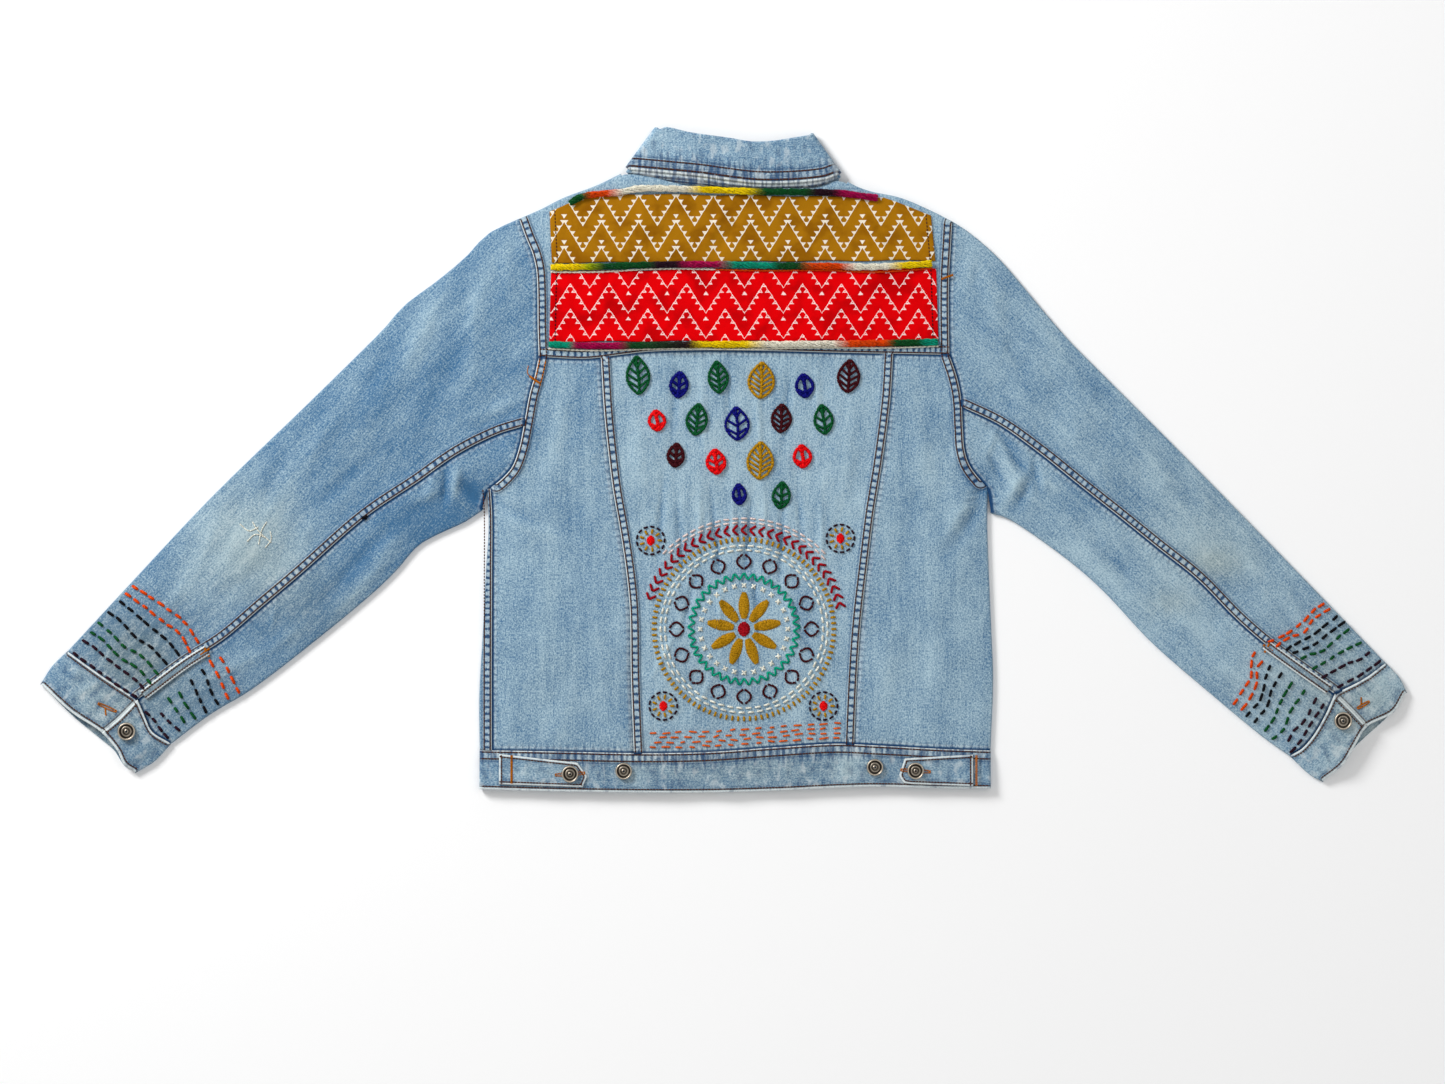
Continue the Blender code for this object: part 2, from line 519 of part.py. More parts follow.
def back(lines):
    """The yoke, the centre panel and the two side panels. The right side panel turns round its side fold."""
    princess, outer, spread = {}, {}, {}
    for name, side in SIDES:
        arm = lines[name]["arm"][ARM_YOKE:-1]
        outer[name] = np.vstack([arm, lines[name]["side_seam" if name == "left" else "body"]])
        line = [*side["princess"], across(WAIST, side["princess_foot"], side["princess_foot"], even(0))[0]]
        princess[name] = rows_level_with(outer[name], line)
        near, far = seam_stops(abs(princess[name][0, 0] - outer[name][0, 0]))
        spread[name] = np.array([0.0, near, far, *(far + (1 - far) * even(4)[1:])])

    centre_width = princess["right"][0, 0] - princess["left"][0, 0]
    near, far = seam_stops(centre_width)
    centre_spread = np.array([0.0, near, *np.linspace(far, 1 - far, 7), 1 - near, 1.0])
    centre_top = across(YOKE_SEAM, princess["left"][0, 0], princess["right"][0, 0], centre_spread)
    near, far = seam_stops(princess["right"][-1, 0] - princess["left"][-1, 0])
    centre_spread = np.array([0.0, near, *np.linspace(far, 1 - far, 7), 1 - near, 1.0])
    centre_foot = across(WAIST, princess["left"][-1, 0], princess["right"][-1, 0], centre_spread)
    centre = inset(patch(centre_top, centre_foot, princess["left"], princess["right"]), "btlr")
    seam_distance = np.minimum(np.linalg.norm(centre - centre[:, :1], axis=-1),
                               np.linalg.norm(centre - centre[:, -1:], axis=-1))
    cloth("back_centre", [laid(centre, upper_inside(centre))], DENIM, thick=ridge(seam_distance))

    side_tops = {}
    for name, side in SIDES:
        top = across(YOKE_SEAM, outer[name][0, 0], princess[name][0, 0], spread[name])
        near, far = seam_stops(abs(princess[name][-1, 0] - outer[name][-1, 0]))
        foot_spread = np.array([0.0, near, far, *(far + (1 - far) * even(4)[1:])])
        foot = across(WAIST, outer[name][-1, 0], princess[name][-1, 0], foot_spread)
        side_tops[name] = top
        folded = name == "right"
        panel = inset(patch(top, foot, outer[name], princess[name]), "btr")
        rows = len(outer[name]) - SIDE_ROWS - 1
        unfolded = slice(0, rows if folded else None)
        panel[unfolded] = inset(panel[unfolded], "l")
        fade = 1 - smooth_step(np.arange(len(panel)), rows - 1, rows + 1)[:, None]
        seam_distance = np.linalg.norm(panel - panel[:, :1], axis=-1)
        walls = CLOTH + (ridge(seam_distance) - CLOTH) * fade
        grids = [laid(panel, upper_inside(panel))]
        if folded:
            edge = panel[rows:, 0]
            grids.append(round_fold(edge, panel[rows:, 1]))
            strip = inset(np.stack([edge, lines[name]["side_seam"]], axis=1), "r")
            strip[-1, 1, 1] = edge[-1, 1]
            grids.append(laid(strip, lower_inside(strip)))
        cloth(f"back_side_{name}", grids, DENIM_DARK, thick=walls)

    arm = {name: lines[name]["arm"][:ARM_YOKE + 1][::-1] for name, _ in SIDES}
    shoulder = {}
    for name, _ in SIDES:
        line = lines[name]["shoulder"][::-1]
        near, far = seam_stops(length_of(line))
        shoulder[name] = curve(line, np.array([0.0, near, far, *(far + (1 - far) * even(3)[1:])]))
    neck = curve([shoulder["left"][-1], *NECK, shoulder["right"][-1]], even(NECK_COLUMNS))
    foot = np.vstack([side_tops["left"], centre_top[1:], side_tops["right"][::-1][1:]])
    top = np.vstack([shoulder["left"], neck[1:], shoulder["right"][::-1][1:]])
    plan = patch(foot, top, arm["left"], arm["right"])
    plan = inset(plan, "blr")
    middle = slice(SHOULDER_COLUMNS + 1, SHOULDER_COLUMNS + NECK_COLUMNS)
    toward = plan[-2, middle] - plan[-1, middle]
    plan[-1, middle] += SEAM_GAP / 2 * toward / np.linalg.norm(toward, axis=-1, keepdims=True)
    seam_distance = np.minimum.reduce([np.linalg.norm(plan - plan[:1], axis=-1),
                                       np.linalg.norm(plan - plan[:, :1], axis=-1),
                                       np.linalg.norm(plan - plan[:, -1:], axis=-1)])
    grids = [laid(plan, upper_inside(plan))]
    for name, side in SIDES:
        count = SHOULDER_COLUMNS + 1
        edge = plan[-1, :count] if name == "left" else plan[-1, -count:][::-1]
        inner = plan[-2, :count] if name == "left" else plan[-2, -count:][::-1]
        grids.append(round_fold(edge, inner))
        strip = inset(np.stack([edge, shoulder_seam(side, lines[name], count)], axis=0), "t")
        grids.append(laid(strip, lower_inside(strip)))
    cloth("back_yoke", grids, DENIM, thick=ridge(seam_distance))


def shoulder_seam(side, lines, count):
    """The seam under the shoulder where the yoke meets a front, from the armhole to the neck."""
    line = lines["shoulder"][::-1]
    near, far = seam_stops(length_of(line))
    edge = curve(line, np.array([0.0, near, far, *(far + (1 - far) * even(count - 3)[1:])]))
    seam = edge - SHOULDER_WRAP * normals_of(edge, np.array([0.0, 300.0]))
    seam[0] = lines["arm"][1]
    seam[-1] = side["front_neck"][0]
    third = far + (1 - far) / (count - 3)
    seam[1] = seam[0] + (seam[3] - seam[0]) * near / third
    seam[2] = seam[0] + (seam[3] - seam[0]) * far / third
    return seam


def front(name, side, lines):
    """A plain front on the underside. The left one turns round the side fold to its seam on the back."""
    lift = OVER_LIFT if name == "left" else BUTTON_LIFT
    arm = lines["arm"][[*UNDER_TOP[1:], *UNDER_LOW[1:]]]
    outer = np.vstack([arm, lines["body" if name == "left" else "side_seam"]])
    count = SHOULDER_COLUMNS + 1
    shoulder = shoulder_seam(side, lines, count)
    neck = curve(side["front_neck"], even(4))
    top = np.vstack([shoulder, neck[1:]])
    centre = side["front_neck"][-1][0]
    share = np.array([0.0, 0.12, 0.24, 0.36, 0.5, 0.63, 0.75, 0.86, 0.945, 1.0])
    foot = across(UNDER_WAIST, outer[-1, 0], centre, share)
    plan = inset(patch(top, foot, outer, curve([neck[-1], foot[-1]], along(outer))), "btr")
    rows = len(arm)
    unfolded = slice(0, rows if name == "left" else None)
    plan[unfolded] = inset(plan[unfolded], "l")
    grids = [laid(plan, lower_inside(plan, lift))]
    thick = None
    if name == "left":
        edge = plan[rows:, 0]
        strip = inset(np.stack([edge, lines["side_seam"]], axis=1), "r")
        strip[-1, 1, 1] = edge[-1, 1]
        thick = np.full(strip.shape[:2], CLOTH + SEAM_RIDGE)
        grids = [laid(strip, upper_inside(strip)), round_fold(edge, plan[rows:, 1]), *grids]
    cloth(f"front_{name}", grids, DENIM, thick=thick, face_up=False)


def front_band(name, lift):
    x = np.array([-BAND_HALF, 0.0, BAND_HALF])
    foot = across(UNDER_WAIST, -BAND_HALF, BAND_HALF, even(2)) + [0.0, SEAM_GAP / 2]
    top = np.column_stack([x, np.full(3, NECK_FRONT - SEAM_GAP / 2)])
    plan = patch(foot, top, curve([foot[0], top[0]], even(8)), curve([foot[-1], top[-1]], even(8)))
    cloth(f"front_band_{name}", [laid(plan, lift + BAND)], DENIM, wall=BAND, face_up=False)


def waistband():
    """A band round the hem, its two ends over each other at the centre front."""
    share = even(18)
    top_line = across(WAIST, LINES["left"]["body"][-1, 0], LINES["right"]["body"][-1, 0], share)
    foot_line = across(HEM, LINES["left"]["body"][-1, 0], LINES["right"]["body"][-1, 0], share)
    steps = np.array([0.0, 0.3, 0.7, 1.0])[:, None, None]
    plan = (1 - steps) * top_line + steps * foot_line
    plan = inset(plan, "b")
    middle = (0.0 - top_line[0, 0]) / (top_line[-1, 0] - top_line[0, 0])
    end = BAND_HALF / (top_line[-1, 0] - top_line[0, 0])
    grids = [laid(plan, upper_inside(plan))]
    for name, first, lift in (("left", 0.0, OVER_LIFT), ("right", 1.0, BUTTON_LIFT)):
        edge_column = 0 if name == "left" else -1
        edge, inner = plan[:, edge_column], plan[:, 1 if name == "left" else -2]
        outward = normals_of(edge, inner)
        grids.append(turned(edge, outward, DOUBLE + lower_lift(edge), upper_inside(edge),
                            FOLD_RADIUS - (DOUBLE - CLOTH) / 2).transpose(1, 0, 2))
        stop = middle + end if name == "left" else middle - end
        knots = np.array([0.0, 0.28, 0.5, 0.66, 0.8, 0.9, 1.0])
        place_x = top_line[0, 0] + (first + (stop - first) * knots) * (top_line[-1, 0] - top_line[0, 0])
        straight = np.column_stack([place_x, np.interp(place_x, *np.transpose(UNDER_WAIST))])
        foot = np.column_stack([place_x, np.interp(place_x, foot_line[:, 0], foot_line[:, 1])])
        under = inset((1 - steps) * straight + steps * foot, "b")
        under[:, 0] = edge
        grids.append(laid(under, DOUBLE + lower_lift(under, lift)))
    cloth("waistband", grids, DENIM, wall=DOUBLE)


def cuff(name, side, lines):
    """A cuff's strip: its buttonhole end on top, over the upper fold, underneath and round to its button."""
    seam = np.vstack([lines["cuff_seam_upper"], lines["cuff_seam_lower"][1:]])
    upper = curve(lines["cuff_upper"], even(CUFF_ROWS))
    lower = curve(lines["cuff_lower"], even(CUFF_ROWS))
    edge = curve([upper[-1], *side["cuff_edge"], lower[-1]], along(seam))
    plan = inset(patch(seam, edge, upper, lower), "b")
    beneath = lower_seam(lines)
    under_edge = curve([upper[-1], *side["cuff_edge_lower"], lower[-1]], along(beneath))
    under = inset(patch(beneath, under_edge, upper, lower), "b")
    hole_end = plan[:, :ARM_ELBOW + 4]
    button_end = plan[:, ARM_ELBOW:]
    rise = np.clip(np.arange(button_end.shape[1])[::-1] / 2.0, 0.0, 1.0) * (DOUBLE + LIE_GAP)
    radius = FOLD_RADIUS - (DOUBLE - CLOTH) / 2
    grids = [laid(button_end, upper_inside(button_end) + rise), laid(hole_end, upper_inside(hole_end)),
             laid(under, DOUBLE + lower_lift(under))]
    for column, inner in ((0, 1), (-1, -2)):
        line = plan[:, column]
        grids.append(turned(line, normals_of(line, plan[:, inner]), DOUBLE + lower_lift(line),
                            upper_inside(line), radius))
    cloth(f"cuff_{name}", grids, DENIM, wall=DOUBLE)


def collar():
    """One strip folded along its roll line: the stand inside, the fall outside, to the centre front."""
    stand_rows, roll_rows, fall_rows = even(2), np.linspace(0.0, math.pi, 5), even(3)
    back_line = {"neck": curve(COLLAR_NECK, even(12)), "roll": curve(COLLAR_ROLL, even(12)),
                 "edge": curve(COLLAR_EDGE, even(12))}
    front_line = {}
    for name, side in SIDES:
        front_line[name] = {"neck": curve(side["stand_neck"], even(5)),
                            "roll": curve(side["stand_roll"], even(5)),
                            "edge": curve(side["fall_edge"], even(5))}

    def rows(line):
        """Plan rows with each row's height over the stand, from the neck seam to the fall's edge."""
        up = line["roll"] - line["neck"]
        up /= np.linalg.norm(up, axis=1, keepdims=True)
        made = [(line["neck"] + t * (line["roll"] - line["neck"]), 0.0) for t in stand_rows]
        for turn in roll_rows[1:-1]:
            outer = line["roll"] + ROLL_GAP / 2 * math.sin(turn) * up
            made.append((outer, ROLL_GAP / 2 * (1 - math.cos(turn))))
        made += [(line["roll"] + t * (line["edge"] - line["roll"]), ROLL_GAP) for t in fall_rows]
        return np.array([plan for plan, _ in made]), np.array([over for _, over in made])[:, None]

    plan, over = rows(back_line)
    high = upper_inside(plan) + DOUBLE + over
    grids = [laid(plan, high)]
    for name, side in SIDES:
        under, _ = rows(front_line[name])
        column, inner = (0, 1) if name == "left" else (-1, -2)
        under[:, 0] = plan[:, column]
        grids.append(laid(under, NECK_LIFT - over))
        line = plan[:, column]
        run = np.subtract(side["collar_side"][-1], side["collar_side"][0])
        outward = -side["inward"] * np.array([run[1], -run[0]]) / np.linalg.norm(run)
        steps = []
        for turn in np.linspace(0.0, math.pi, 6):
            radius = FOLD_RADIUS - (DOUBLE - CLOTH) / 2 + DOUBLE + over
            middle = (high[:, [column]] + NECK_LIFT - over) / 2
            half = (high[:, [column]] - NECK_LIFT + over) / 2
            place_plan = line + radius * math.sin(turn) * outward
            steps.append(np.hstack([place_plan, middle + half * math.cos(turn)]))
        grids.append(np.stack(steps, axis=1))
    cloth("collar", grids, DENIM, wall=DOUBLE)


def lying(name, plan, under, wall, colour):
    """A flat piece that lies on the upper layer, over cloth of the given thickness."""
    return cloth(name, [laid(plan, upper_inside(plan) + under + LIE_GAP)], colour, wall=wall)


def patch_piece(name, corners, colour):
    left_low, right_low, right_high, top_right, top_left, left_high = corners
    top = np.vstack([curve([left_high, top_left], even(2)),
                     curve([top_left, top_right], even(PATCH_COLUMNS - 4))[1:],
                     curve([top_right, right_high], even(2))[1:]])
    bottom = curve([left_low, right_low], even(PATCH_COLUMNS))
    left = curve([left_low, left_high], even(PATCH_ROWS))
    right = curve([right_low, right_high], even(PATCH_ROWS))
    plan = patch(bottom, top, left, right)
    lying(name, plan, CLOTH, PATCH, colour)


def tab(name, points):
    base_low, tip_low, tip_low_end, tip, tip_high, base_high = [np.array(point) for point in points]
    low = curve([base_low, tip_low, tip_low_end], even(4))
    high = curve([base_high, tip_high], even(4))
    plan = patch(low, high, curve([base_low, base_high], even(2)), np.array([tip_low_end, tip, tip_high]))
    lying(f"waist_tab_{name}", plan, DOUBLE, DOUBLE, DENIM)


def placket(name, side):
    """The strip over a sleeve's opening, along the last stretch of the elbow seam."""
    seam = curve(side["elbow"], np.linspace(*PLACKET_SPAN, 7))
    across_seam = normals_of(seam, np.array([0.0, 400.0]))
    plan = np.stack([seam - PLACKET_HALF * across_seam, seam, seam + PLACKET_HALF * across_seam], axis=1)
    lying(f"sleeve_placket_{name}", plan, CLOTH + SEAM_RIDGE, CLOTH, DENIM)


def yarn(name, points):
    data = bpy.data.curves.new(name, "CURVE")
    data.dimensions = "3D"
    data.bevel_depth = YARN_RADIUS * MM
    data.bevel_resolution = 1
    data.use_fill_caps = True
    plan = curve(points, even(24))
    height = upper_inside(plan) + CLOTH + PATCH + 2 * LIE_GAP + YARN_RADIUS
    spline = data.splines.new("POLY")
    spline.points.add(len(plan) - 1)
    for point, (x, y), z in zip(spline.points, plan, height):
        point.co = (x * MM, y * MM, z * MM, 1.0)
    data.materials.append(material(name, YARN_COLOURS[name]))
    place(name, data)


def button_mesh(name, radius, profile):
    """A turned button: a profile from its top centre down its outer side to its underside."""
    data = bpy.data.meshes.new(name)
    points = [(radius * across_share * MM, 0.0, height * MM) for across_share, height in profile]
    data.from_pydata(points, [(i, i + 1) for i in range(len(points) - 1)], [])
    data.materials.append(material(name, BRASS, roughness=0.35, metallic=1.0))
    return data


def button(name, data, x, y, z, steps=20):
    made = place(name, data, (x, y, z))
    screw = made.modifiers.new("turn", "SCREW")
    screw.steps = screw.render_steps = steps
    screw.use_merge_vertices = True
    screw.merge_threshold = 1e-6
    screw.use_smooth_shade = True


def rest_height(x, y, radius, under):
    """The height a flat disc rests at on the upper layer, over cloth of the given thickness."""
    turn = np.linspace(0.0, 2 * math.pi, 16, endpoint=False)
    ring = np.column_stack([x + radius * np.cos(turn), y + radius * np.sin(turn)])
    return float(upper_inside(np.vstack([ring, [[x, y]]])).max()) + under + LIE_GAP


LINES = {name: seams_of(side) for name, side in SIDES}
FOLDS = [line for lines in LINES.values()
         for line in (lines["shoulder"], lines["upper"], lines["cuff_upper"], lines["lower"],
                      lines["cuff_lower"], lines["body"], np.array([lines["body"][0], lines["lower"][0]]))]
FOLDS += [np.array(side["collar_side"]) for _, side in SIDES]

back(LINES)
for side_name, side_table in SIDES:
    sleeve(side_name, side_table, LINES[side_name])
    cuff(side_name, side_table, LINES[side_name])
    placket(side_name, side_table)
    front(side_name, side_table, LINES[side_name])
    tab(side_name, TABS[side_name])
front_band("left", OVER_LIFT)
front_band("right", BUTTON_LIFT)
waistband()
collar()
patch_piece("patch_mustard", PATCHES["patch_mustard"], MUSTARD)
patch_piece("patch_red", PATCHES["patch_red"], RED)
for yarn_name, yarn_points in YARNS.items():
    yarn(yarn_name, yarn_points)

waist_button = button_mesh("waist_button", WAIST_BUTTON_RADIUS, SHOWN_BUTTON)
cuff_button = button_mesh("cuff_button", CUFF_BUTTON_RADIUS, SHOWN_BUTTON)
front_button = button_mesh("front_button", WAIST_BUTTON_RADIUS, HIDDEN_BUTTON)
for side_name, _ in SIDES:
    x, y = TAB_BUTTONS[side_name]
    button(f"button_tab_{side_name}", waist_button, x, y,
           rest_height(x, y, WAIST_BUTTON_RADIUS, 2 * DOUBLE + LIE_GAP))
    x, y = SPARE_BUTTONS[side_name]
    button(f"button_spare_{side_name}", waist_button, x, y, rest_height(x, y, WAIST_BUTTON_RADIUS, DOUBLE))
    x, y = CUFF_BUTTONS[side_name]
    button(f"button_cuff_{side_name}", cuff_button, x, y,
           rest_height(x, y, CUFF_BUTTON_RADIUS, 2 * DOUBLE + LIE_GAP))
for number, y in enumerate(FRONT_BUTTONS, start=1):
    button(f"button_front_{number}", front_button, 0.0, y, 0.0, steps=12)

# The origin goes to the middle of the underside
bpy.context.view_layer.update()
graph = bpy.context.evaluated_depsgraph_get()
corners = np.array([item.evaluated_get(graph).matrix_world @ Vector(corner)
                    for item in COLLECTION.objects if item.type == "MESH"
                    for corner in item.evaluated_get(graph).bound_box])
low, high = corners.min(axis=0), corners.max(axis=0)
JACKET.location = (-(low[0] + high[0]) / 2, -(low[1] + high[1]) / 2, -low[2])
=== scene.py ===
import json
import math

import bmesh
import bpy
import numpy as np
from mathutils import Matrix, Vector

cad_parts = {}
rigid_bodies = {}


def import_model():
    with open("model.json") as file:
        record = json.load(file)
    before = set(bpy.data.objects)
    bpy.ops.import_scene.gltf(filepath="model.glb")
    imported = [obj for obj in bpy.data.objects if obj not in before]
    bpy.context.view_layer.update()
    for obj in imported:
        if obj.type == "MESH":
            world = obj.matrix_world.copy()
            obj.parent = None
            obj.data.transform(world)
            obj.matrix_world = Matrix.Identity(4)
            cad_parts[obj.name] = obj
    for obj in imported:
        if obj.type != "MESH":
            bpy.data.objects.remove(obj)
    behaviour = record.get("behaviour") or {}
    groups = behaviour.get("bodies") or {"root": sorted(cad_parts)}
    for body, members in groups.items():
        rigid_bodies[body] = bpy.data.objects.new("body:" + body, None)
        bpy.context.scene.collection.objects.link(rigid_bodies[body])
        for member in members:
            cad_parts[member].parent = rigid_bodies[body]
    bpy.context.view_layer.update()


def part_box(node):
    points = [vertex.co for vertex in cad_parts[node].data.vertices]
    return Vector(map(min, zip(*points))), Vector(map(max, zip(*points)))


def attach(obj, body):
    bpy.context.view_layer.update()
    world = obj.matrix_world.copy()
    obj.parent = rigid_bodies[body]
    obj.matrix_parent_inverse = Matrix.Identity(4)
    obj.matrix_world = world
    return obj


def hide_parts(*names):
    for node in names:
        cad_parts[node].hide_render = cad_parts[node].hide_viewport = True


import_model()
mm = 0.001

# Plan sizes are millimetres on the flat jacket: x from the centre back, y up from the hem, z from the floor
jacket = {
    "cloth": 1.2, "double": 2.0, "patch": 1.2, "lieGap": 0.45,
    "foldRadius": 1.0, "shell": 0.9, "foldedShell": 0.72,
    "puff": 4.0, "puffReach": 25.0,
    "collarLift": 2.6, "neckCentre": (0.0, 600.0), "neckReach": (172.0, 238.0),
    "lift": {"left": 4.9, "right": 2.6}, "centreReach": (24.0, 100.0),
    "fineCreases": 1.5, "bandHalf": 19.0, "bandEnds": (516.6, 38.4), "shoulderWrap": 12.0, "armpitStep": 1.2,
    "upperStart": 3.3, "collarWall": 4.6,  # points above the first height belong to the upper layer
}
seam = {  # a felled seam: how its edge stands out, and how far from the edge its stitches run
    "ridge": 1.0, "width": 8.0, "step": 1.5, "stitches": (1.5, 7.3), "tuck": 1.3, "gap": -0.2,
    "rope": 0.42, "ropePitch": 6.3, "puckerReach": 6.0, "pucker": 0.5, "rimStitch": 2.6,
}
tabButton = (-156.4, 15.6)
tabMiddle = np.array(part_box("button_tab_left")).mean(axis=0)
origin = np.append(tabMiddle[:2] - np.array(tabButton) * mm, 0.0)

leftSide = {
    "shoulder": [(-108.3, 585.2), (-132, 573.8), (-162.4, 562.4), (-185.2, 551), (-205.2, 542.4)],
    "sleeveUpper": [
        (-205.2, 542.4), (-234.7, 528.2), (-256.5, 505.4), (-284, 482.6), (-314.5, 459.8), (-334.4, 437),
        (-403.8, 368.6), (-497.8, 277.4), (-583.3, 186.2), (-633.5, 132)],
    "sleeveLower": [
        (-239.5, 266), (-256.5, 254.6), (-281.2, 243.2), (-301.2, 231.8), (-321.1, 209), (-344.9, 186.2),
        (-400, 140.6), (-459.8, 95), (-497.8, 72.2), (-536, 43.6)],
    "side": [(-235.4, 286), (-233.9, 250), (-236.5, 209), (-239.4, 152), (-242.8, 90), (-242.4, 38)],
    "armYoke": [(-198.5, 524.4), (-191.9, 508.2), (-188.1, 489.2), (-187.1, 437), (-186.2, 411.3)],
    "armUpper": [(-186.2, 411.3), (-190, 393.3), (-194.8, 376.2), (-200.5, 345.5)],
    "armLower": [(-200.5, 345.5), (-204.5, 326), (-210.9, 307.8), (-220.4, 296.4)],
    "besideBody": [(-235.9, 283.8), (-237.6, 277)],
    "elbow": [
        (-200.5, 345.5), (-226.1, 337.5), (-263.1, 318.9), (-300.2, 293), (-351.1, 258.7), (-411, 206.1),
        (-447.9, 174.8), (-484.9, 143.4), (-521.9, 119.7), (-566.7, 86.1)],
    "cuffSeamUpper": [(-600, 108), (-566.7, 86.1)],
    "cuffSeamLower": [(-566.7, 86.1), (-559.6, 69.3), (-552.7, 55.5)],
    "cuffUpper": [(-633.5, 132), (-648, 117.8), (-659, 101)],
    "cuffLower": [(-536, 43.6), (-551.5, 27.3), (-569, 16.6)],
    "cuffEdge": [(-629.4, 74.5), (-601.4, 56), (-586.1, 38.8), (-579.2, 24.8)],
    "cuffEdgeLower": [(-629.9, 72.2), (-602.3, 49.4), (-589, 38), (-579.8, 24)],
    "princess": [
        (-127.3, 410.6), (-124.4, 361), (-120.6, 323), (-115.9, 285), (-109.2, 247), (-103.5, 209),
        (-99.8, 171), (-98.8, 108.3), (-96, 35.4)],
    "inward": 1,
    "sideSeam": [(-230.6, 262), (-230.6, 209), (-230.8, 114), (-230.8, 38)],
    "collarSide": [(-101.8, 585.6), (-88, 606), (-72.5, 625.6)],
    "frontNeck": [(-104.6, 571), (-94, 550), (-62, 525.5), (-19, 517)],
    "standNeck": [(-101.8, 585.6), (-99.5, 572), (-89.5, 552.5), (-59.5, 528.5), (-17, 519)],
    "standRoll": [(-72.5, 625.6), (-66, 600), (-45, 565), (-6, 536)],
    "fallEdge": [(-99.9, 588.4), (-104, 560), (-98, 520), (-80, 482)],
    "tab": [(-224, 5.7), (-150, 3.2), (-144.4, 3), (-140, 13.5), (-149.2, 26.3), (-224, 34.6)],
    "tabButton": tabButton, "sleeveGrain": 226,
}
rightSide = {
    "shoulder": [(107, 577.6), (115.9, 573), (130.2, 568.1), (156.8, 562.4), (184.3, 551), (207.1, 539.6)],
    "sleeveUpper": [
        (207.1, 539.6), (224.2, 528.2), (249.9, 505.4), (279.3, 471.2), (298.3, 448.4), (318.3, 425.6),
        (341, 402.8), (420.9, 323), (510.2, 231.8), (617.5, 121)],
    "sleeveLower": [
        (243.4, 262.5), (253.7, 260), (265.1, 254.6), (298.3, 231.8), (327.8, 209), (352.5, 186.2),
        (395.2, 140.6), (447.5, 95), (502.6, 49.4), (527.4, 32)],
    "side": [(240.5, 288), (239.6, 254.6), (241, 209), (243.4, 152), (245.1, 105), (242.6, 37.6)],
    "armYoke": [(205, 519.6), (203.2, 489.2), (202.8, 456), (203.3, 413.2)],
    "armUpper": [(203.3, 413.2), (209.9, 394), (213.6, 378.1), (215.2, 363.8)],
    "armLower": [(215.2, 363.8), (216.2, 341.1), (217.6, 323.6), (223, 307.5)],
    "besideBody": [(241.2, 284.6), (242.6, 274.5)],
    "elbow": [
        (215.2, 363.8), (250.8, 346.8), (288.4, 320.3), (325.8, 290.2), (363.6, 260.3), (400.9, 230.2),
        (438.7, 200.1), (475.9, 162.4), (506.3, 136.2), (569, 91.5)],
    "cuffSeamUpper": [(597.8, 106.4), (569, 91.5)],
    "cuffSeamLower": [(569, 91.5), (560.5, 72.9), (549.9, 54.1), (537.9, 39.5)],
    "cuffUpper": [(617.5, 121), (630.8, 106.4), (637.6, 93)],
    "cuffLower": [(527.4, 32), (545.3, 15.2), (557.8, 8.2)],
    "cuffEdge": [(624.5, 74.2), (599.2, 60.8), (587.1, 42.2), (576.6, 24.9)],
    "cuffEdgeLower": [(621.3, 72.2), (596.6, 49.4), (585.2, 38), (574, 22)],
    "princess": [
        (150.1, 414.2), (147.2, 369.5), (139.7, 311.6), (132, 264.1), (126.3, 218.5), (119.7, 161.5),
        (115.9, 108.3), (113, 43.5)],
    "inward": -1,
    "sideSeam": [(231.8, 262), (232.8, 209), (235.2, 152), (236.9, 105), (234.4, 37.6)],
    "collarSide": [(98.6, 580.6), (85.5, 600), (70.6, 620)],
    "frontNeck": [(102, 566), (92, 548), (62, 525.5), (19, 517)],
    "standNeck": [(98.6, 580.6), (96.6, 567.5), (87.5, 550.5), (59.5, 528.5), (17, 519)],
    "standRoll": [(70.6, 620), (64, 597), (45, 565), (6, 536)],
    "fallEdge": [(97, 583), (102, 556), (98, 520), (80, 482)],
    "tab": [(226, 3.9), (168, 5.9), (160, 6.9), (155.5, 14), (160.9, 30.4), (226, 34)],
    "tabButton": (171.2, 18.6), "sleeveGrain": 314,
}
sides = {"left": leftSide, "right": rightSide}
acrossLines = {  # lines that run from the left to the right
    "neck": [(-92, 583.3), (-75, 580.3), (-47.5, 573.4), (0, 570.9), (50, 570.4), (80, 572.4), (94, 577)],
    "yokeSeam": [
        (-186.2, 411.3), (-146.3, 409.3), (-127.3, 410.6), (-108, 413.2), (-80.8, 416.2), (-29.4, 417.5),
        (23.8, 417), (101.6, 415.1), (150.1, 414.2), (203.3, 413.2)],
    "waist": [
        (-242.4, 38), (-174.8, 37), (-91.2, 35.3), (-27, 36.3), (37, 40.7), (95, 44.2), (133.7, 42.6),
        (197.6, 39.2), (242.6, 37.6)],
    "underWaist": [(-242.4, 38), (242.6, 37.6)],
    "hem": [
        (-242.2, 1.4), (-155.8, -0.9), (-43, -1.9), (37, 0), (95, 2.8), (133.7, 3.8), (197.6, 2.3),
        (242.2, 1.9)],
    "collarNeck": [
        (-101.8, 585.6), (-92, 584.2), (-75, 581.1), (-47.5, 574.2), (0, 571.7), (50, 571.2), (80, 573.3),
        (98.6, 580.6)],
    "collarRoll": [
        (-72.5, 625.6), (-66, 627.6), (-43.2, 622.4), (-3.9, 616.7), (15.7, 613.6), (35.3, 614.2),
        (51.7, 616.7), (70.6, 620)],
    "collarEdge": [
        (-99.9, 588.4), (-62.8, 584.9), (-30.1, 581.6), (-13.8, 579.2), (19, 575.4), (51.7, 575.4),
        (84.5, 578.6), (97, 583)],
}
